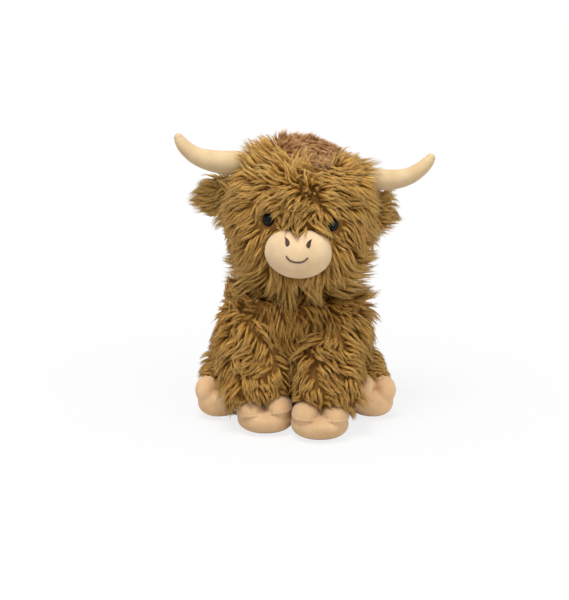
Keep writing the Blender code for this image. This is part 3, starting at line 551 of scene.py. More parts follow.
def tube_shape(points, radii, across, sides):
    """A closed round tube along points, with a radius at each."""
    shape = bmesh.new()
    ring = bmesh.ops.create_circle(shape, cap_ends=True, segments=sides, radius=1)["verts"]
    rim = shape.edges[:]
    placed = Matrix()
    for index, point in enumerate(points):
        before, after = points[max(index - 1, 0)], points[min(index + 1, len(points) - 1)]
        along = (after - before).normalized()
        side = across.cross(along).normalized()
        other = along.cross(side)
        turn = Matrix((side * radii[index], other * radii[index], along * radii[index])).transposed().to_4x4()
        place = Matrix.Translation(point) @ turn
        if index:
            ring, rim = extrude_rim(shape, rim)
        bmesh.ops.transform(shape, matrix=place @ placed.inverted(), verts=ring)
        placed = place
    bmesh.ops.holes_fill(shape, edges=rim)
    bmesh.ops.recalc_face_normals(shape, faces=shape.faces)
    return shape


# Share of the reach outward, share of the lift and share of the radius along a horn
HORN_PATH = (
    (0.10, 0.015, 1.00),
    (0.28, 0.00, 0.98),
    (0.50, -0.05, 0.88),
    (0.66, 0.02, 0.80),
    (0.80, 0.22, 0.70),
    (0.91, 0.55, 0.60),
    (0.97, 0.84, 0.50),
    (0.99, 0.98, 0.41),
)
HORN_RADIUS = 0.0121
HORN_REACH = 0.098
HORN_LIFT = 0.025
HORN_SWEEP = 0.004
HORN_ROOT = Vector((0.45 * HEAD_HALF.x, 0.007, 0.585 * HEAD_HALF.z))
HORN_TIP_ANGLES = (18, 36, 52, 66, 78, 86)
# How much the middle of each horn bows up, and the share that it is thicker there
HORN_BOW = {"left": 0, "right": 0.0048}
HORN_SWELL = {"left": 0.04, "right": 0.14}


def make_horn(name, side):
    points = []
    radii = []
    for across, lift, size in curve_through(HORN_PATH, 40):
        middle = math.sin(math.pi * across)
        x = HORN_ROOT.x + across * HORN_REACH
        z = HORN_ROOT.z + lift * HORN_LIFT + HORN_BOW[name] * middle
        points.append(HEAD_PLACE @ (HEAD_CENTRE + Vector((side * x, HORN_ROOT.y + across * HORN_SWEEP, z))))
        radii.append(size * HORN_RADIUS * (1 + HORN_SWELL[name] * middle))
    last, before = points[-1], points[-2]
    along = (last - before).normalized()
    tip = radii[-1]
    for angle in HORN_TIP_ANGLES:
        points.append(last + along * tip * math.sin(math.radians(angle)))
        radii.append(tip * math.cos(math.radians(angle)))
    mesh = mesh_from(tube_shape(points, radii, HEAD_TURN @ Vector((0, 1, 0)), 36), "horn")
    parts = [f"horn_cover_{name}", f"horn_stuffing_{name}"]
    return show(f"horn_pad_{name}", mesh, "head", HORN_PILE, parts)


# Where the eyes sit, as shares of the head's half width and half height, and the sizes of one
EYE_PLACE = (0.443, 0.028)
EYE_RADIUS = 0.0065
EYE_DEPTH = 0.005
EYE_RIM = 0.0012
DOME_START = 0.0015
DOME_HEIGHT = 0.0052
SHANK_RADIUS = 0.002
SHANK_LENGTH = 0.012


def eye_seat(side):
    """Where an eye sits on the head's ball, before the head is placed, and the way it faces."""
    across, rise = EYE_PLACE
    forward = math.sqrt(1 - across**2 - rise**2)
    offset = Vector((side * across * HEAD_HALF.x, -forward * HEAD_HALF.y, rise * HEAD_HALF.z))
    facing = Vector([offset[axis] / HEAD_HALF[axis] ** 2 for axis in range(3)]).normalized()
    return HEAD_CENTRE + offset, facing


def make_eye(name, side):
    """A domed eye and its shank, spun from one outline."""
    seat, facing = eye_seat(side)
    place = HEAD_PLACE @ Matrix.Translation(seat) @ facing.to_track_quat("Z", "Y").to_matrix().to_4x4()
    floor = -EYE_DEPTH
    outline = [(0, floor - SHANK_LENGTH), (SHANK_RADIUS, floor - SHANK_LENGTH), (SHANK_RADIUS, floor)]
    outline += [(EYE_RADIUS, floor), (EYE_RADIUS, floor + EYE_RIM)]
    for angle in range(0, 91, 9):
        size, rise = math.cos(math.radians(angle)), math.sin(math.radians(angle))
        outline.append((EYE_RADIUS * size, floor + DOME_START + DOME_HEIGHT * rise))
    outline[-1] = (0, outline[-1][1])
    shape = bmesh.new()
    vertices = [shape.verts.new((radius, 0, height)) for radius, height in outline]
    edges = [shape.edges.new(pair) for pair in zip(vertices, vertices[1:])]
    turned = {"cent": (0, 0, 0), "axis": (0, 0, 1), "angle": math.tau, "steps": 48, "use_merge": True}
    bmesh.ops.spin(shape, geom=vertices + edges, **turned)
    bmesh.ops.remove_doubles(shape, verts=shape.verts, dist=1e-6)
    bmesh.ops.recalc_face_normals(shape, faces=shape.faces)
    bmesh.ops.transform(shape, matrix=place, verts=shape.verts)
    return show(f"eye_gloss_{name}", mesh_from(shape, "eye"), "head", EYE_GLOSS, [f"eye_{name}"])


FACE_SHIFT = -0.0015
THREAD_SIDES = 6
NOSTRIL_MIDDLE = (0.0104, 0.0143)
# Height, outward place and half width of a nostril's rows of thread, from its point down
NOSTRIL_ROWS = (
    (0.0039, 0.0023, 0.0003),
    (0.0024, 0.0009, 0.0012),
    (0.0008, 0.0000, 0.0018),
    (-0.0010, -0.0004, 0.0020),
    (-0.0026, -0.0003, 0.0015),
    (-0.0036, 0.0000, 0.0006),
)
NOSTRIL_THREAD = 0.00026
NOSTRIL_HEIGHT = 0.0006
FULL_ROW = 0.0015
ROW_UNEVEN = 0.00003
SMILE = (
    (-0.0104, 0.0016),
    (-0.0082, -0.0009),
    (-0.0046, -0.0030),
    (0, -0.0037),
    (0.0046, -0.0030),
    (0.0082, -0.0009),
    (0.0104, 0.0016),
)
# A stem stitch of the smile: the radius at each of its points, its slant from one to the next, and its height
STITCH_RADII = (0.0004, 0.0007, 0.0008, 0.0008, 0.0008, 0.0007, 0.0004)
STITCH_SLANT = 0.00012
STITCH_HEIGHT = 0.0003
STITCH_PACE = 4

muzzle_corners, muzzle_triangles, _ = arrays(muzzle_pad.data)
MUZZLE_SURFACE = BVHTree.FromPolygons(muzzle_corners.tolist(), muzzle_triangles.tolist())


def on_muzzle(across, rise, stand):
    """A point on the front of the muzzle, across and up from its middle, that stands off it by a distance."""
    start = HEAD_PLACE @ (MUZZLE_CENTRE + Vector((across + FACE_SHIFT, -0.1, rise)))
    place, normal, _, _ = MUZZLE_SURFACE.ray_cast(start, HEAD_TURN @ Vector((0, 1, 0)))
    return place + normal * stand


def embroider(name, runs, node_name):
    """Fine threads on the muzzle, each a run of points and a radius at each, as one piece."""
    up = HEAD_TURN @ Vector((0, 0, 1))
    joined = bmesh.new()
    for points, radii in runs:
        joined.from_mesh(mesh_from(tube_shape(points, radii, up, THREAD_SIDES), "thread"))
    return show(name, mesh_from(joined, name), "head", EMBROIDERY, [node_name])


def make_nostril(name, side):
    """A leaf of satin stitches that lie side by side and stand highest in its middle."""
    runs = []
    for height, place, half in curve_through(NOSTRIL_ROWS, 19):
        points = []
        for share in (-1, -0.8, -0.4, 0, 0.4, 0.8, 1):
            across = side * (NOSTRIL_MIDDLE[0] + place) + share * half
            stand = 0.0001 + NOSTRIL_HEIGHT * math.sqrt(1 - share**2) * min(1, half / FULL_ROW)
            points.append(on_muzzle(across, NOSTRIL_MIDDLE[1] + height + rng.normal(0, ROW_UNEVEN), stand))
        runs.append((points, [NOSTRIL_THREAD] * len(points)))
    embroider(f"nostril_stitches_{name}", runs, f"nostril_{name}")


def make_smile():
    """Stem stitches, each starting just above the end of the one before."""
    line = curve_through(SMILE, 46)
    steps = len(STITCH_RADII)
    runs = []
    for first in range(0, len(line) - 5, STITCH_PACE):
        points = []
        for step in range(steps):
            across, rise = line[min(first + step, len(line) - 1)]
            stand = 0.0002 + STITCH_HEIGHT * math.sin(math.pi * step / (steps - 1))
            points.append(on_muzzle(across, rise + STITCH_SLANT * (steps // 2 - step), stand))
        runs.append((points, STITCH_RADII))
    embroider("smile_stitches", runs, "mouth_stitching")


make_smile()
for name, side in SIDES.items():
    make_nostril(name, side)

bare_pieces = [muzzle_pad]
eye_pieces = []
for name, side in SIDES.items():
    bare_pieces += [make_front_hoof(name), make_hind_hoof(name, side), make_horn(name, side)]
    eye_pieces.append(make_eye(name, side))
bare_pieces += eye_pieces


# Hair: where it grows

STRAND_SIDES = 3
STRAND_RINGS = 3
PATH_STEPS = 6
TONES = 32
ROOT_DEPTH = 0.0008
LEAST_CLEARANCE = 0.0006
MOST_PUSH = 0.006
CROWDED = 0.005
FLOOR_CLEARANCE = 0.0010
NEIGHBOURS = list(product((-1, 0, 1), repeat=3))

all_corners, all_triangles = [], []
corner_count = 0
for piece in [piece for pad, piece in pad_pieces.items() if pad != "neck"] + bare_pieces:
    corners, triangles, _ = arrays(piece.data)
    all_corners.append(corners)
    all_triangles.append(triangles + corner_count)
    corner_count += len(corners)
SURFACE = BVHTree.FromPolygons(np.vstack(all_corners).tolist(), np.vstack(all_triangles).tolist())


def nearest(points):
    """The nearest point of the toy's sewn surface to each point, and the outward direction there."""
    places = np.empty_like(points)
    normals = np.empty_like(points)
    for index, point in enumerate(points):
        places[index], normals[index], _, _ = SURFACE.find_nearest(point)
    return places, normals


def smooth_noise(points, size, seed):
    """A value of about -1 to 1 that changes smoothly over about the given distance."""
    waves = np.random.default_rng(seed)
    total = np.zeros(len(points))
    for _ in range(5):
        direction = unit(waves.normal(size=3))
        pace = math.tau / size * waves.uniform(0.6, 1.3)
        total += np.sin(points @ direction * pace + waves.uniform(0, math.tau))
    return total / 5 * 1.6


def scatter(mesh, spacing, allowed):
    """Roots spread over a mesh about a distance apart, and the outward directions there, where hair is allowed."""
    corners, triangles, normals = arrays(mesh)
    first, second, third = (corners[triangles[:, index]] for index in range(3))
    areas = np.linalg.norm(np.cross(second - first, third - first), axis=1) / 2
    tries = int(areas.sum() / spacing**2 * 3)
    picked = rng.choice(len(triangles), tries, p=areas / areas.sum())
    u, v = rng.random((2, tries))
    flip = u + v > 1
    u[flip], v[flip] = 1 - u[flip], 1 - v[flip]
    weights = np.stack((1 - u - v, u, v), axis=1)
    points = np.einsum("ij,ijk->ik", weights, corners[triangles[picked]])
    outward = unit(np.einsum("ij,ijk->ik", weights, normals[triangles[picked]]))
    use = allowed(points, outward)
    points, outward = points[use], outward[use]
    taken = {}
    kept = []
    for index, (x, y, z) in enumerate(map(tuple, np.floor(points / spacing).astype(int))):
        near = [other for i, j, k in NEIGHBOURS for other in taken.get((x + i, y + j, z + k), ())]
        if near and ((points[near] - points[index]) ** 2).sum(1).min() < (spacing * 0.8) ** 2:
            continue
        taken.setdefault((x, y, z), []).append(index)
        point, normal = Vector(points[index]), Vector(outward[index])
        hit, _, _, _ = SURFACE.ray_cast(point + normal * ROOT_DEPTH, normal, CROWDED)
        if hit is None:
            kept.append(index)
    return points[kept], outward[kept]


# Hair: how it lies

# Least and most share of a lock's set length, and what its tuft adds to it
LOCK_LENGTHS = (0.88, 1.08)
TUFT_LENGTH = 0.10
# Degrees: how unevenly a lock lifts, and its least and most lift
LIFT_UNEVEN = 5
LIFT_LIMITS = (8, 88)
STRAY_PATCH = 0.045
STEER = 0.42
CORE_REACH = 0.86
STRAND_REACH = (0.66, 1)
# The share of strands that fly loose, and how many times further than the rest
FLYING_SHARE = 0.08
FLYING = 3
# How much the tone of a tuft, a lock and a strand varies, and how much darker a lock's core is painted, as painted
# shade inside the lock
TUFT_TONE = 0.11
LOCK_TONE = 0.16
STRAND_TONE = 0.20
CORE_PAINTED_SHADE = 0.2
# How far behind and before an eye's seat the room in front of it is kept
EYE_ROOM_DEPTH = (-0.004, 0.03)


def turned_about(vectors, axes, angles):
    """Each vector turned about its axis, which is square to it, by its angle."""
    return vectors * np.cos(angles)[:, None] + np.cross(axes, vectors) * np.sin(angles)[:, None]


def at(value, points):
    """A style's value at each point, where it may be one number or a rule that follows the place."""
    return value(points) if callable(value) else np.full(len(points), float(value))


def tufts_of(roots, size):
    """The locks that lead tufts, which stand about a size apart, and which of them each root goes with."""
    leaders = []
    for index in rng.permutation(len(roots)):
        if not leaders or ((roots[leaders] - roots[index]) ** 2).sum(1).min() > size**2:
            leaders.append(index)
    gaps = ((roots[:, None] - roots[leaders][None]) ** 2).sum(2)
    return np.array(leaders), gaps.argmin(1)


def stand_clear(points, clearance):
    """Moves points out until they clear the sewn surface and the floor. Gives the outward directions as well."""
    place, normal = nearest(points)
    height = ((points - place) * normal).sum(1)
    points = points + normal * np.clip(clearance - height, 0, MOST_PUSH)[:, None]
    points[:, 2] = np.maximum(points[:, 2], FLOOR_CLEARANCE)
    return points, normal


def comb(roots, outward, style):
    """The paths that locks follow: out of the skin, over with the flow, and clear of all that is sewn.

    Locks go together in tufts, each with its own turn, lift and length, whose locks draw in towards the leading one.
    Gives the paths, a direction across each, and each tuft's shade.
    """
    count = len(roots)
    leaders, leading = tufts_of(roots, style["tuft"])
    turn, rise, bow, shade = rng.normal(0, 1, (4, len(leaders)))[:, leading]
    length = at(style["length"], roots) * rng.uniform(*LOCK_LENGTHS, count)
    length *= 1 + TUFT_LENGTH * np.clip(rise, -1.5, 1.5)
    step = (length / PATH_STEPS)[:, None]
    lift = at(style["lift"], roots) + style["rise"] * rise + rng.normal(0, LIFT_UNEVEN, count)
    lift = np.radians(np.clip(lift, *LIFT_LIMITS))
    stray = 0.5 * smooth_noise(roots, STRAY_PATCH, style["seed"]) + 0.7 * turn + rng.normal(0, 0.15, count)
    stray *= np.radians(at(style["mess"], roots))
    bend = np.radians(style["bend"]) * (0.9 * bow + rng.normal(0, 0.3, count))
    layer = at(style["depth"], roots) * rng.uniform(0.15, 1, count)
    droop = at(style["droop"], roots)[:, None]

    def flow(points, normals, share):
        way = style["flow"](points)
        way = way - normals * (way * normals).sum(1)[:, None]
        return turned_about(unit(way), normals, stray + bend * share)

    heading = flow(roots, outward, 0)
    direction = unit(heading * np.cos(lift)[:, None] + outward * np.sin(lift)[:, None])
    point = roots - outward * ROOT_DEPTH
    path = [point]
    for index in range(1, PATH_STEPS + 1):
        share = index / PATH_STEPS
        point, normal = stand_clear(point + direction * step, LEAST_CLEARANCE + layer * min(1, 1.5 * share))
        heading = flow(point, normal, share)
        tilt = lift * (1 - share) * 0.6 + np.radians(style["tip"])
        wish = heading * np.cos(tilt)[:, None] + normal * np.sin(tilt)[:, None] + DOWN * droop * share
        direction = unit(direction + STEER * (unit(wish) - direction))
        path.append(point)
    path = np.stack(path, axis=1)
    shares = np.linspace(0, 1, PATH_STEPS + 1)
    drawn = (style["clump"] * rng.uniform(0.3, 1.15, count)[:, None] * shares**1.1)[..., None]
    path = path * (1 - drawn) + path[leaders][leading] * drawn
    for index in range(1, PATH_STEPS + 1):
        path[:, index], _ = stand_clear(path[:, index], LEAST_CLEARANCE)
    along = unit(path[:, -1] - path[:, 0])
    side = unit(np.cross(along, outward))
    for axis, curl in ((side, style["curl"]), (np.cross(side, along), 0.6 * style["curl"])):
        turns = rng.uniform(0.5, 1.1, count)[:, None] * shares + rng.random(count)[:, None]
        wave = np.sin(math.tau * turns) - np.sin(math.tau * turns[:, :1])
        wave *= shares * curl * rng.uniform(0.3, 1, count)[:, None]
        path += axis[:, None] * wave[..., None]
    path[:, 1:, 2] = np.maximum(path[:, 1:, 2], FLOOR_CLEARANCE)
    return path, side, shade


def part_at_eyes(points):
    """Moves hair that hangs before an eye aside, less for the eye that a few hairs cross."""
    for seat, facing, room in EYE_ROOMS:
        from_seat = points - seat
        ahead = from_seat @ facing
        across = from_seat - ahead[..., None] * facing
        before = (ahead > EYE_ROOM_DEPTH[0]) * (ahead < EYE_ROOM_DEPTH[1])
        short = np.clip(room - np.linalg.norm(across, axis=-1), 0, None) * before
        points += unit(across) * short[..., None]


def lay_locks(path, side, outward, shade, style):
    """Strands of a lock start apart on the skin and run to one point. Gives their paths, tones, sizes and locks."""
    locks = len(path)
    owner = np.repeat(np.arange(locks), style["strands"])
    count = len(owner)
    core = np.tile(np.arange(style["strands"]) == 0, locks)
    spread = style["spread"] * np.sqrt(rng.random(count)) * ~core
    angle = rng.random(count) * math.tau
    cross = unit(np.cross(outward, side))
    offset = side[owner] * (spread * np.cos(angle))[:, None] + cross[owner] * (spread * np.sin(angle))[:, None]
    reach = np.where(core, CORE_REACH, rng.uniform(*STRAND_REACH, count))
    shares = np.linspace(0, 1, STRAND_RINGS + 1)
    places = reach[:, None] * shares * PATH_STEPS
    lower = np.minimum(places.astype(int), PATH_STEPS - 1)
    part = (places - lower)[..., None]
    rows = owner[:, None]
    strands = path[rows, lower] * (1 - part) + path[rows, lower + 1] * part
    gather = 1 - style["gather"] * shares**0.8
    strands = strands + offset[:, None] * gather[None, :, None]
    loose = unit(rng.normal(size=(count, 3)))
    wave = np.sin(math.tau * (rng.uniform(0.4, 1.2, count)[:, None] * shares + rng.random(count)[:, None])) * shares
    stray = np.where(rng.random(count) < FLYING_SHARE, FLYING, 1) * style["loose"] * ~core
    strands += loose[:, None] * (wave * stray[:, None])[..., None]
    strands[:, 1:, 2] = np.maximum(strands[:, 1:, 2], FLOOR_CLEARANCE)
    if style["faces"]:
        part_at_eyes(strands)
    tone = at(style["tone"], path[:, 0]) + TUFT_TONE * shade + rng.normal(0, LOCK_TONE, locks)
    # Each lock's core strand is painted darker: painted shade inside the lock
    tone = tone[owner] + rng.normal(0, STRAND_TONE, count) - CORE_PAINTED_SHADE * core
    thickness = style["radius"] * np.where(core, style["core"], 1) * rng.uniform(0.8, 1.2, count)
    return strands, np.clip(tone, 0, 0.999), thickness, owner


def strand_pattern():
    """One strand: a capped three-sided root, rings along it and a closed tip. Gives its rings, corners and faces."""
    shape = bmesh.new()
    bmesh.ops.create_circle(shape, cap_ends=True, segments=STRAND_SIDES, radius=1)
    rim = shape.edges[:]
    for _ in range(STRAND_RINGS):
        moved, rim = extrude_rim(shape, rim)
        bmesh.ops.translate(shape, vec=(0, 0, 1), verts=moved)
    bmesh.ops.pointmerge(shape, verts=moved, merge_co=(0, 0, STRAND_RINGS))
    bmesh.ops.recalc_face_normals(shape, faces=shape.faces)
    shape.verts.index_update()
    ring = np.array([round(vertex.co.z) for vertex in shape.verts])
    corner = np.array([(vertex.co.x, vertex.co.y) for vertex in shape.verts])
    faces = [[vertex.index for vertex in face.verts] for face in shape.faces]
    shape.free()
    return ring, corner, faces


PATTERN_RING, PATTERN_CORNER, PATTERN_FACES = strand_pattern()


def pattern_map():
    """For each corner of the pattern's faces, its share across the strand's strip of the map and its share along it."""
    number = np.round(np.arctan2(PATTERN_CORNER[:, 1], PATTERN_CORNER[:, 0]) / math.tau * STRAND_SIDES).astype(int)
    number %= STRAND_SIDES
    across, along = [], []
    for face in PATTERN_FACES:
        numbers = [number[index] for index in face if PATTERN_RING[index] < STRAND_RINGS]
        wraps = set(numbers) == {0, STRAND_SIDES - 1}
        for index in face:
            place = number[index] + (STRAND_SIDES if wraps and number[index] == 0 else 0)
            if PATTERN_RING[index] == STRAND_RINGS:
                place = sum(n + (STRAND_SIDES if wraps and n == 0 else 0) for n in numbers) / len(numbers)
            across.append(place / STRAND_SIDES)
            along.append(PATTERN_RING[index] / STRAND_RINGS)
    return np.array(across), np.array(along)


MAP_ACROSS, MAP_ALONG = pattern_map()


def strand_mesh(name, strands, tone, thickness):
    """The strand pattern laid along each path, thickest near the root, with a map of tone and length."""
    count = len(strands)
    tangent = np.empty_like(strands)
    tangent[:, 1:-1] = strands[:, 2:] - strands[:, :-2]
    tangent[:, 0] = strands[:, 1] - strands[:, 0]
    tangent[:, -1] = strands[:, -1] - strands[:, -2]
    tangent = unit(tangent)
    start = unit(rng.normal(size=(count, 3)))
    side = unit(np.cross(tangent, start[:, None]))
    other = np.cross(tangent, side)
    shares = np.linspace(0, 1, STRAND_RINGS + 1)
    taper = (0.75 + 0.5 * np.sin(math.pi * np.minimum(1, shares * 1.3) ** 0.8)) * (1 - shares**2.2)
    size = thickness[:, None] * taper
    ring, corner = PATTERN_RING, PATTERN_CORNER
    offset = side[:, ring] * corner[None, :, :1] + other[:, ring] * corner[None, :, 1:]
    points = strands[:, ring] + offset * size[:, ring][..., None]
    loops = np.array([index for face in PATTERN_FACES for index in face])
    sizes = np.array([len(face) for face in PATTERN_FACES])
    starts = np.concatenate(([0], np.cumsum(sizes)[:-1]))
    all_loops = (loops[None] + np.arange(count)[:, None] * len(ring)).ravel()
    all_starts = (starts[None] + np.arange(count)[:, None] * len(loops)).ravel()
    mesh = bpy.data.meshes.new(name)
    mesh.vertices.add(count * len(ring))
    mesh.vertices.foreach_set("co", points.astype(np.float32).ravel())
    mesh.loops.add(len(all_loops))
    mesh.loops.foreach_set("vertex_index", all_loops.astype(np.int32))
    mesh.polygons.add(len(all_starts))
    mesh.polygons.foreach_set("loop_start", all_starts.astype(np.int32))
    mesh.update(calc_edges=True)
    across = (np.floor(tone * TONES)[:, None] + 0.05 + 0.9 * MAP_ACROSS[None]) / TONES
    along = np.broadcast_to(MAP_ALONG[None], across.shape)
    uv = mesh.uv_layers.new(name="OFBake")
    uv.data.foreach_set("uv", np.stack((across, along), axis=-1).astype(np.float32).ravel())
    mesh.validate()
    return mesh


def above_floor(points, normals):
    return ~((points[:, 2] < 0.006) & (normals[:, 2] < -0.5))


# Metres, degrees and shares that hair has where its call says nothing else
STYLE = {
    "spacing": 0.0037,
    "strands": 9,
    "spread": 0.0024,
    "radius": 0.00026,
    "core": 2.7,
    "gather": 0.62,
    "loose": 0.0007,
    "curl": 0.0009,
    "tuft": 0.011,
    "clump": 0.5,
    "lift": 42,
    "rise": 12,
    "tip": 6,
    "droop": 0.25,
    "mess": 34,
    "bend": 30,
    "depth": 0.006,
    "tone": 0.5,
    "allowed": above_floor,
    "faces": False,
}


def grow(name, pad, body, pieces=1, slot="fur", material=FUR, **changes):
    """The hair of one pad, cut into pieces that lie side by side round it."""
    style = {**STYLE, **changes}
    roots, outward = scatter(pad_pieces[pad].data, style["spacing"], style["allowed"])
    path, side, shade = comb(roots, outward, style)
    strands, tone, thickness, owner = lay_locks(path, side, outward, shade, style)
    middle = roots.mean(0)
    around = np.arctan2(roots[:, 0] - middle[0], -(roots[:, 1] - middle[1]))
    order = np.argsort(around, kind="stable")
    for index, locks in enumerate(np.array_split(order, pieces)):
        use = np.isin(owner, locks)
        label = name if pieces == 1 else f"{name}_{index + 1}"
        show(label, strand_mesh(label, strands[use], tone[use], thickness[use]), body, material)


def share_within(places, *bands):
    """How far each place lies inside every band, which is an axis and where the share is nought and one along it."""
    share = np.ones(len(places))
    for axis, nought, one in bands:
        share *= smoothstep(nought, one, places[:, axis])
    return share


# Hair of the head, which turns out from a whorl on the forehead

WHORL = np.array(HEAD_PLACE @ Vector((0.003, -0.068, 0.118)))
WHORL_RADIUS = 0.026

# How wide the hair stays off each eye: a few hairs cross the left one
EYE_CLEARANCE = {"left": 0.0008, "right": 0.0075}
EYE_PUSH = {"left": 0.25, "right": 1.6}
EYE_SEATS = {}
EYE_ROOMS = []
EAR_ROOTS = []
for name, side in SIDES.items():
    seat, facing = eye_seat(side)
    EYE_SEATS[name] = np.array(HEAD_PLACE @ seat)
    EYE_ROOMS.append((EYE_SEATS[name], np.array(HEAD_TURN @ facing), EYE_CLEARANCE[name]))
    low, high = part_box(f"ear_{name}")
    EAR_ROOTS.append(np.array((ear_root(f"ear_{name}"), low.y - 0.006, (low.z + high.z) / 2)))

# What is added to the head's hair, and where, in the head's own shares
HEAD_LENGTHS = (
    (0.006, (X, -0.32, -0.50), (Z, 0.6, 0.75)),
    (-0.010, (X, -0.45, -0.75), (Z, -0.05, -0.30)),
    (0.006, (X, 0.45, 0.70), (Z, -0.55, -0.75)),
    (0.005, (X, 0.30, 0.45), (Z, 0.5, 0.65)),
    (0.005, (Z, -0.35, -0.65), (Y, 0, -0.4)),
)
TALL_TUFT = ((X, -0.32, -0.50), (X, -0.85, -0.7), (Z, 0.6, 0.75))


def from_eyes(points):
    return np.min([np.linalg.norm(points - seat, axis=1) for seat in EYE_SEATS.values()], axis=0)


def from_whorl(points):
    return np.linalg.norm(points - WHORL, axis=1)


def round_eyes(points, normals):
    return from_eyes(points) > EYE_RADIUS + 0.0008


def around_whorl(points, normals):
    return round_eyes(points, normals) & (from_whorl(points) < WHORL_RADIUS)


def head_local(points):
    """Points in the head's own shares: across, forward and up from its centre over its half sizes."""
    inverse = np.array(HEAD_PLACE.inverted())
    local = points @ inverse[:3, :3].T + inverse[:3, 3]
    return (local - np.array(HEAD_CENTRE)) / np.array(HEAD_HALF)


def low_share(local):
    return smoothstep(0.0, -0.7, local[:, 2])


def side_share(local):
    """How far a place of the head lies beside or behind it, not below its face."""
    return np.maximum(smoothstep(0.25, 0.60, np.abs(local[:, 0])), smoothstep(-0.2, 0.3, local[:, 1]))


def head_flow(points):
    local = head_local(points)
    low = (low_share(local) * (0.25 + 1.15 * side_share(local)))[:, None]
    curls = np.stack([smooth_noise(points, 0.020, seed) for seed in (41, 42, 43)], axis=1)
    mixed = (1 - smoothstep(0.004, 0.024, from_whorl(points)))[:, None]
    away = unit(points - WHORL) * (1 - 0.75 * mixed) + curls * mixed
    below = smoothstep(0.006, 0.022, WHORL[2] - points[:, 2])
    below *= 1 - smoothstep(0.016, 0.030, np.abs(points[:, 0] - WHORL[0]))
    away[:, 0] *= 1 - 0.7 * below
    flow = away + DOWN * 0.25 + unit(local * np.array((1, 1, 0))) * low
    for name, seat in EYE_SEATS.items():
        from_eye = points - seat
        near = 1 - smoothstep(0.007, 0.014, np.linalg.norm(from_eye, axis=1))
        flow = unit(flow) + unit(from_eye) * (EYE_PUSH[name] * near)[:, None]
    return flow


def head_mess(points):
    return 28 + 22 * (1 - smoothstep(0.010, 0.040, from_whorl(points)))


def head_lift(points):
    local = head_local(points)
    raised = 14 * low_share(local) + 26 * (1 - smoothstep(0.006, 0.030, from_whorl(points)))
    tall = share_within(local, *TALL_TUFT)
    return 42 + raised + 25 * tall - 20 * (1 - smoothstep(0.008, 0.020, from_eyes(points)))


def head_depth(points):
    return 0.0008 + 0.0055 * smoothstep(0.008, 0.024, from_eyes(points))


def head_droop(points):
    local = head_local(points)
    return 0.25 + 0.5 * low_share(local) * (1 - side_share(local))


def head_length(points):
    """Shorter beside the eyes and the crown patch, longest low on the cheeks and below the muzzle."""
    local = head_local(points)
    length = 0.025 - 0.017 * (1 - smoothstep(0.006, 0.024, from_eyes(points))) + 0.008 * low_share(local)
    for amount, *bands in HEAD_LENGTHS:
        length += amount * share_within(local, *bands)
    for root in EAR_ROOTS:
        length += 0.006 * (1 - smoothstep(0.012, 0.034, np.linalg.norm(points - root, axis=1)))
    crown = np.hypot((local[:, 0] - 0.04) / 0.45, (local[:, 1] + 0.06) / 0.55)
    beside = (1 - smoothstep(1.0, 1.35, crown)) * (local[:, 2] > 0) * smoothstep(-0.2, 0.1, local[:, 0])
    return length - 0.010 * beside


def crown_flow(points):
    return np.broadcast_to(np.array((0.45, -0.8, 0)), points.shape)


def crown_lift(points):
    """The patch lies flat but for its right edge, where it stands up in a crest."""
    return 26 + 44 * smoothstep(0.010, -0.012, points[:, 0])


def ear_flow(side):
    outward = np.array(HEAD_TURN @ Vector((side * 1.0, 0, -0.15)))
    low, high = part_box(f"ear_{'left' if side > 0 else 'right'}")
    middle = np.array((low + high) / 2)

    def flow(points):
        return outward + unit(points - middle) * 0.4

    return flow


# Hair of the body, the legs and the tail


def from_middle(points):
    """The level direction away from the middle of the body."""
    return unit(points * np.array((1, 1, 0)) + np.array((0, 0.004, 0)))


def shoulder_share(points):
    """How far a place of the body lies on its shoulders or high on its back, where hair stands out and up."""
    out = from_middle(points)
    beside = np.maximum(smoothstep(0.35, 0.75, np.abs(out[:, 0])), smoothstep(0, 0.5, out[:, 1]))
    return smoothstep(0.098, 0.120, points[:, 2]) * beside


def throat_share(points):
    """How far a place of the body lies below the chin, where the head rests on its hair."""
    beside = smoothstep(0.030, 0.055, np.abs(points[:, 0]))
    return share_within(points, (Z, 0.095, 0.115), (Y, 0, -0.03)) * (1 - beside)


def body_flow(points):
    high = shoulder_share(points)[:, None]
    return DOWN * (1 - 1.5 * high) + from_middle(points) * (0.35 + 0.65 * high)


def body_lift(points):
    left = smoothstep(-0.02, 0.02, points[:, 0])
    return 38 + (2 + 10 * left) * shoulder_share(points) - 20 * throat_share(points)


def body_length(points):
    """Longer on the left shoulder than on the right."""
    right = share_within(points, (Z, 0.080, 0.100), (X, -0.030, -0.050))
    left = share_within(points, (Z, 0.080, 0.100), (X, 0.030, 0.050))
    return 0.024 - 0.005 * right + 0.007 * left


def body_tone_with_painted_chest_shade(points):
    """The hair of the chest and throat is darker: painted shade for the shadow that the head casts on them."""
    beside = smoothstep(0.030, 0.060, np.abs(points[:, 0]))
    return 0.50 - 0.62 * share_within(points, (Y, 0.0, -0.03), (Z, 0.040, 0.070)) * (1 - beside)


def body_droop(points):
    return 0.25 - 0.25 * shoulder_share(points)


def outer_share(points, side):
    """How far a place of a front leg lies low on its outer side, where its hair hangs over the hind hoof."""
    low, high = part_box(f"front_leg_cover_{'left' if side > 0 else 'right'}")
    across = side * (points[:, 0] - (low.x + high.x) / 2)
    return smoothstep(0.004, 0.018, across) * smoothstep(0.080, 0.050, points[:, 2])


def leg_flow(side):
    def flow(points):
        outer = outer_share(points, side)[:, None]
        return DOWN + np.array((side * 0.25, -0.25, 0)) + outer * np.array((side * 0.35, -0.1, 0))

    return flow


def leg_length(side):
    def length(points):
        outer = (0.011 - 0.003 * side) * outer_share(points, side)
        return 0.014 + 0.011 * smoothstep(0.040, 0.085, points[:, 2]) + outer

    return length


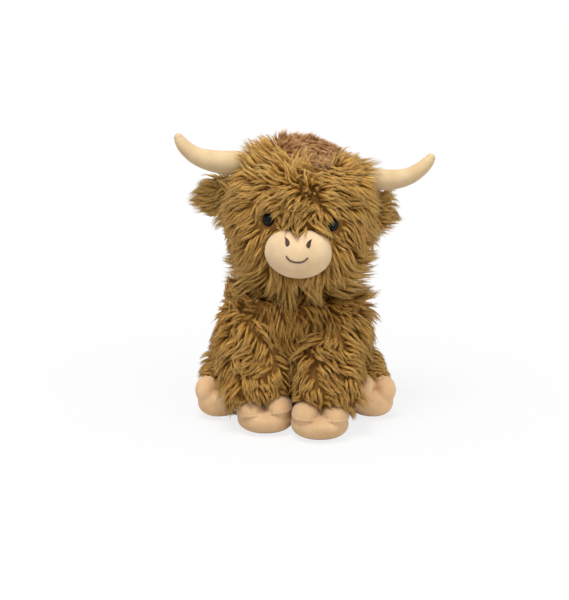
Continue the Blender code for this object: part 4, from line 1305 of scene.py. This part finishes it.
def above_hoof(name):
    """Where a front leg has hair: down to the floor behind, and to the top of the hoof in front."""
    low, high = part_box(f"front_hoof_cover_{name}")
    middle = (low.x + high.x) / 2

    def allowed(points, normals):
        over = (np.abs(points[:, 0] - middle) < 0.020) & (normals[:, 1] < -0.2)
        return (points[:, 2] > np.where(over, 0.037, 0.010)) & above_floor(points, normals)

    return allowed


def hind_flow(side):
    def flow(points):
        return DOWN * 0.8 + np.array((side * 0.4, -0.2, 0))

    return flow


def hind_length(points):
    """Shorter close behind the hoof, which it must not cover."""
    return 0.018 - 0.008 * smoothstep(-0.012, -0.026, points[:, 1])


def tail_flow(points):
    return np.broadcast_to(DOWN, points.shape)


# The head's hair takes a lighter tone than the default: painted light, for the light that falls on the head from above
HEAD_HAIR = {"flow": head_flow, "lift": head_lift, "mess": head_mess, "depth": head_depth, "tone": 0.66, "faces": True}
# The ears' hair takes a lighter tone than the default, partly its own lighter hair and partly painted light against the
# shade that the horns cast on the ears
EAR_HAIR = {"length": 0.021, "lift": 36, "mess": 24, "bend": 16, "clump": 0.3, "gather": 0.5, "spacing": 0.0030}
EAR_HAIR |= {"depth": 0.007, "droop": 0.1, "tone": 0.85}
SHAGGY = {"mess": 42, "clump": 0.4, "gather": 0.55}
CROWN_HAIR = {"length": 0.020, "spacing": 0.0029, "spread": 0.0024, "radius": 0.00021, "core": 1.9, "clump": 0.2}
CROWN_HAIR |= {"mess": 10, "rise": 4, "bend": 10, "tip": 12, "depth": 0.004, "droop": 0.05, "gather": 0.32}
CROWN_HAIR |= {"curl": 0.0003, "loose": 0.0004, "tone": 0.58, "flow": crown_flow, "lift": crown_lift}
BODY_HAIR = {"length": body_length, "flow": body_flow, "lift": body_lift, "droop": body_droop, "tone": body_tone_with_painted_chest_shade}

WHOLE_HEAD = {"allowed": round_eyes, "length": head_length, "droop": head_droop, "clump": 0.45}
grow("head_fur", "head", "head", 4, seed=11, **WHOLE_HEAD, **HEAD_HAIR)
grow("whorl_fur", "head", "head", seed=51, allowed=around_whorl, length=0.019, droop=0.2, tuft=0.008, **HEAD_HAIR)
grow("body_fur", "body", "body", 4, seed=12, bend=36, curl=0.0013, **SHAGGY, **BODY_HAIR)
for name, side in SIDES.items():
    leg, hind, ear = f"front_leg_{name}", f"hind_leg_{name}", f"ear_{name}"
    leg_hair = {"length": leg_length(side), "flow": leg_flow(side), "allowed": above_hoof(name), **SHAGGY}
    # Painted shade: the front legs, low under the head, take a duller tone than the default, and the left one a little
    # duller still
    grow(f"front_leg_fur_{name}", leg, leg, seed=13 + side, bend=38, curl=0.0014, tone=0.42 - 0.04 * side, **leg_hair)
    grow(f"hind_leg_fur_{name}", hind, hind, seed=17 + side, length=hind_length, flow=hind_flow(side))
    grow(f"ear_fur_{name}", ear, ear, seed=21 + side, flow=ear_flow(side), **EAR_HAIR)
grow("crown_fur", "crown", "head", seed=25, slot="crown_fur", material=CROWN_FUR, **CROWN_HAIR)
grow("tail_fur", "tail", "tail", seed=31, length=0.010, flow=tail_flow, depth=0.003)
grow("tuft_fur", "tuft", "tail", seed=32, length=0.020, flow=tail_flow, depth=0.003)


# Carried-over parts, floor, light and camera

CAD_FINISHES = {"neck_thread": SEAM_THREAD, "eye_washer_left": WASHER_PLASTIC, "eye_washer_right": WASHER_PLASTIC}
for name, finish in CAD_FINISHES.items():
    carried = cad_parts[name]
    carried.data.materials.clear()
    carried.data.materials.append(finish)

FLOOR_HALF = 3
# Where the floor starts to turn white round the toy and where it is white, and how bright it is seen at first
FLOOR_FADE = (0.10, 0.45)
FLOOR_NEAR = 0.8
WORLD_LEVEL = 0.57
# Place, size and power of each lamp, and the point that they face
LAMPS = {"key": ((-0.26, -0.54, 1.65), 0.7, 22.5), "fill": ((0.9, -1.1, 0.9), 0.9, 6.5)}
LIT_POINT = Vector((0, 0, 0.14))
CAMERA_ELEVATION = math.radians(12.5)
CAMERA_DISTANCE = 1.10
CAMERA_TARGET = Vector((-0.009, -0.02, 0.125))
CAMERA_LENS = 66


def place_in_scene(name, data):
    obj = bpy.data.objects.new(name, data)
    bpy.context.scene.collection.objects.link(obj)
    return obj


def make_floor():
    """A grey floor that takes the toy's shadow and is seen paler, and white further off."""
    shape = bmesh.new()
    bmesh.ops.create_grid(shape, x_segments=1, y_segments=1, size=FLOOR_HALF)
    mesh = mesh_from(shape, "floor")
    material, tree, shader = new_material("floor")
    tree.nodes.remove(shader)
    distance = node(tree, "VectorMath", {0: node(tree, "TexCoord").outputs["Object"]}, operation="LENGTH")
    fade = {"Value": distance.outputs["Value"], "From Min": FLOOR_FADE[0], "From Max": FLOOR_FADE[1]}
    spread = node(tree, "MapRange", {**fade, "To Min": FLOOR_NEAR, "To Max": 1})
    straight = node(tree, "LightPath").outputs["Is Camera Ray"]
    seen = node(tree, "Math", {0: straight, 1: spread.outputs["Result"]}, operation="MULTIPLY")
    grey = node(tree, "BsdfDiffuse", {"Color": (0.7, 0.7, 0.7, 1)})
    mixed = node(tree, "MixShader", {0: seen.outputs[0], 1: grey.outputs[0], 2: node(tree, "Emission").outputs[0]})
    feed(tree, tree.nodes["Material Output"], {"Surface": mixed.outputs[0]})
    mesh.materials.append(material)
    place_in_scene("floor", mesh)


def make_world():
    """Even light of a plain level that the camera, gloss and glass see as white."""
    world = bpy.data.worlds.new("studio")
    bpy.context.scene.world = world
    world.use_nodes = True
    tree = world.node_tree
    path = node(tree, "LightPath").outputs
    seen = node(tree, "Math", {0: path["Is Camera Ray"], 1: path["Is Glossy Ray"]}, operation="MAXIMUM")
    both = node(tree, "Math", {0: seen.outputs[0], 1: path["Is Transmission Ray"]}, operation="MAXIMUM")
    strength = node(tree, "MapRange", {"Value": both.outputs[0], "To Min": WORLD_LEVEL, "To Max": 1})
    feed(tree, tree.nodes["Background"], {"Color": WHITE, "Strength": strength.outputs["Result"]})


def make_lamp(name, place, size, power):
    """A soft square lamp that faces the toy."""
    light = bpy.data.lights.new(name, "AREA")
    light.size = size
    light.energy = power
    lamp = place_in_scene(name, light)
    lamp.location = place
    lamp.rotation_euler = (LIT_POINT - Vector(place)).to_track_quat("-Z", "Y").to_euler()


def make_camera():
    camera = place_in_scene("camera", bpy.data.cameras.new("camera"))
    back = Vector((0, -math.cos(CAMERA_ELEVATION), math.sin(CAMERA_ELEVATION)))
    camera.location = CAMERA_TARGET + back * CAMERA_DISTANCE
    camera.rotation_euler = (math.pi / 2 - CAMERA_ELEVATION, 0, 0)
    camera.data.lens = CAMERA_LENS
    camera.data.sensor_width = 36
    camera.data.sensor_fit = "HORIZONTAL"
    bpy.context.scene.camera = camera


make_floor()
make_world()
for name, (place, size, power) in LAMPS.items():
    make_lamp(name, place, size, power)
make_camera()
bpy.context.scene.view_settings.view_transform = "Standard"
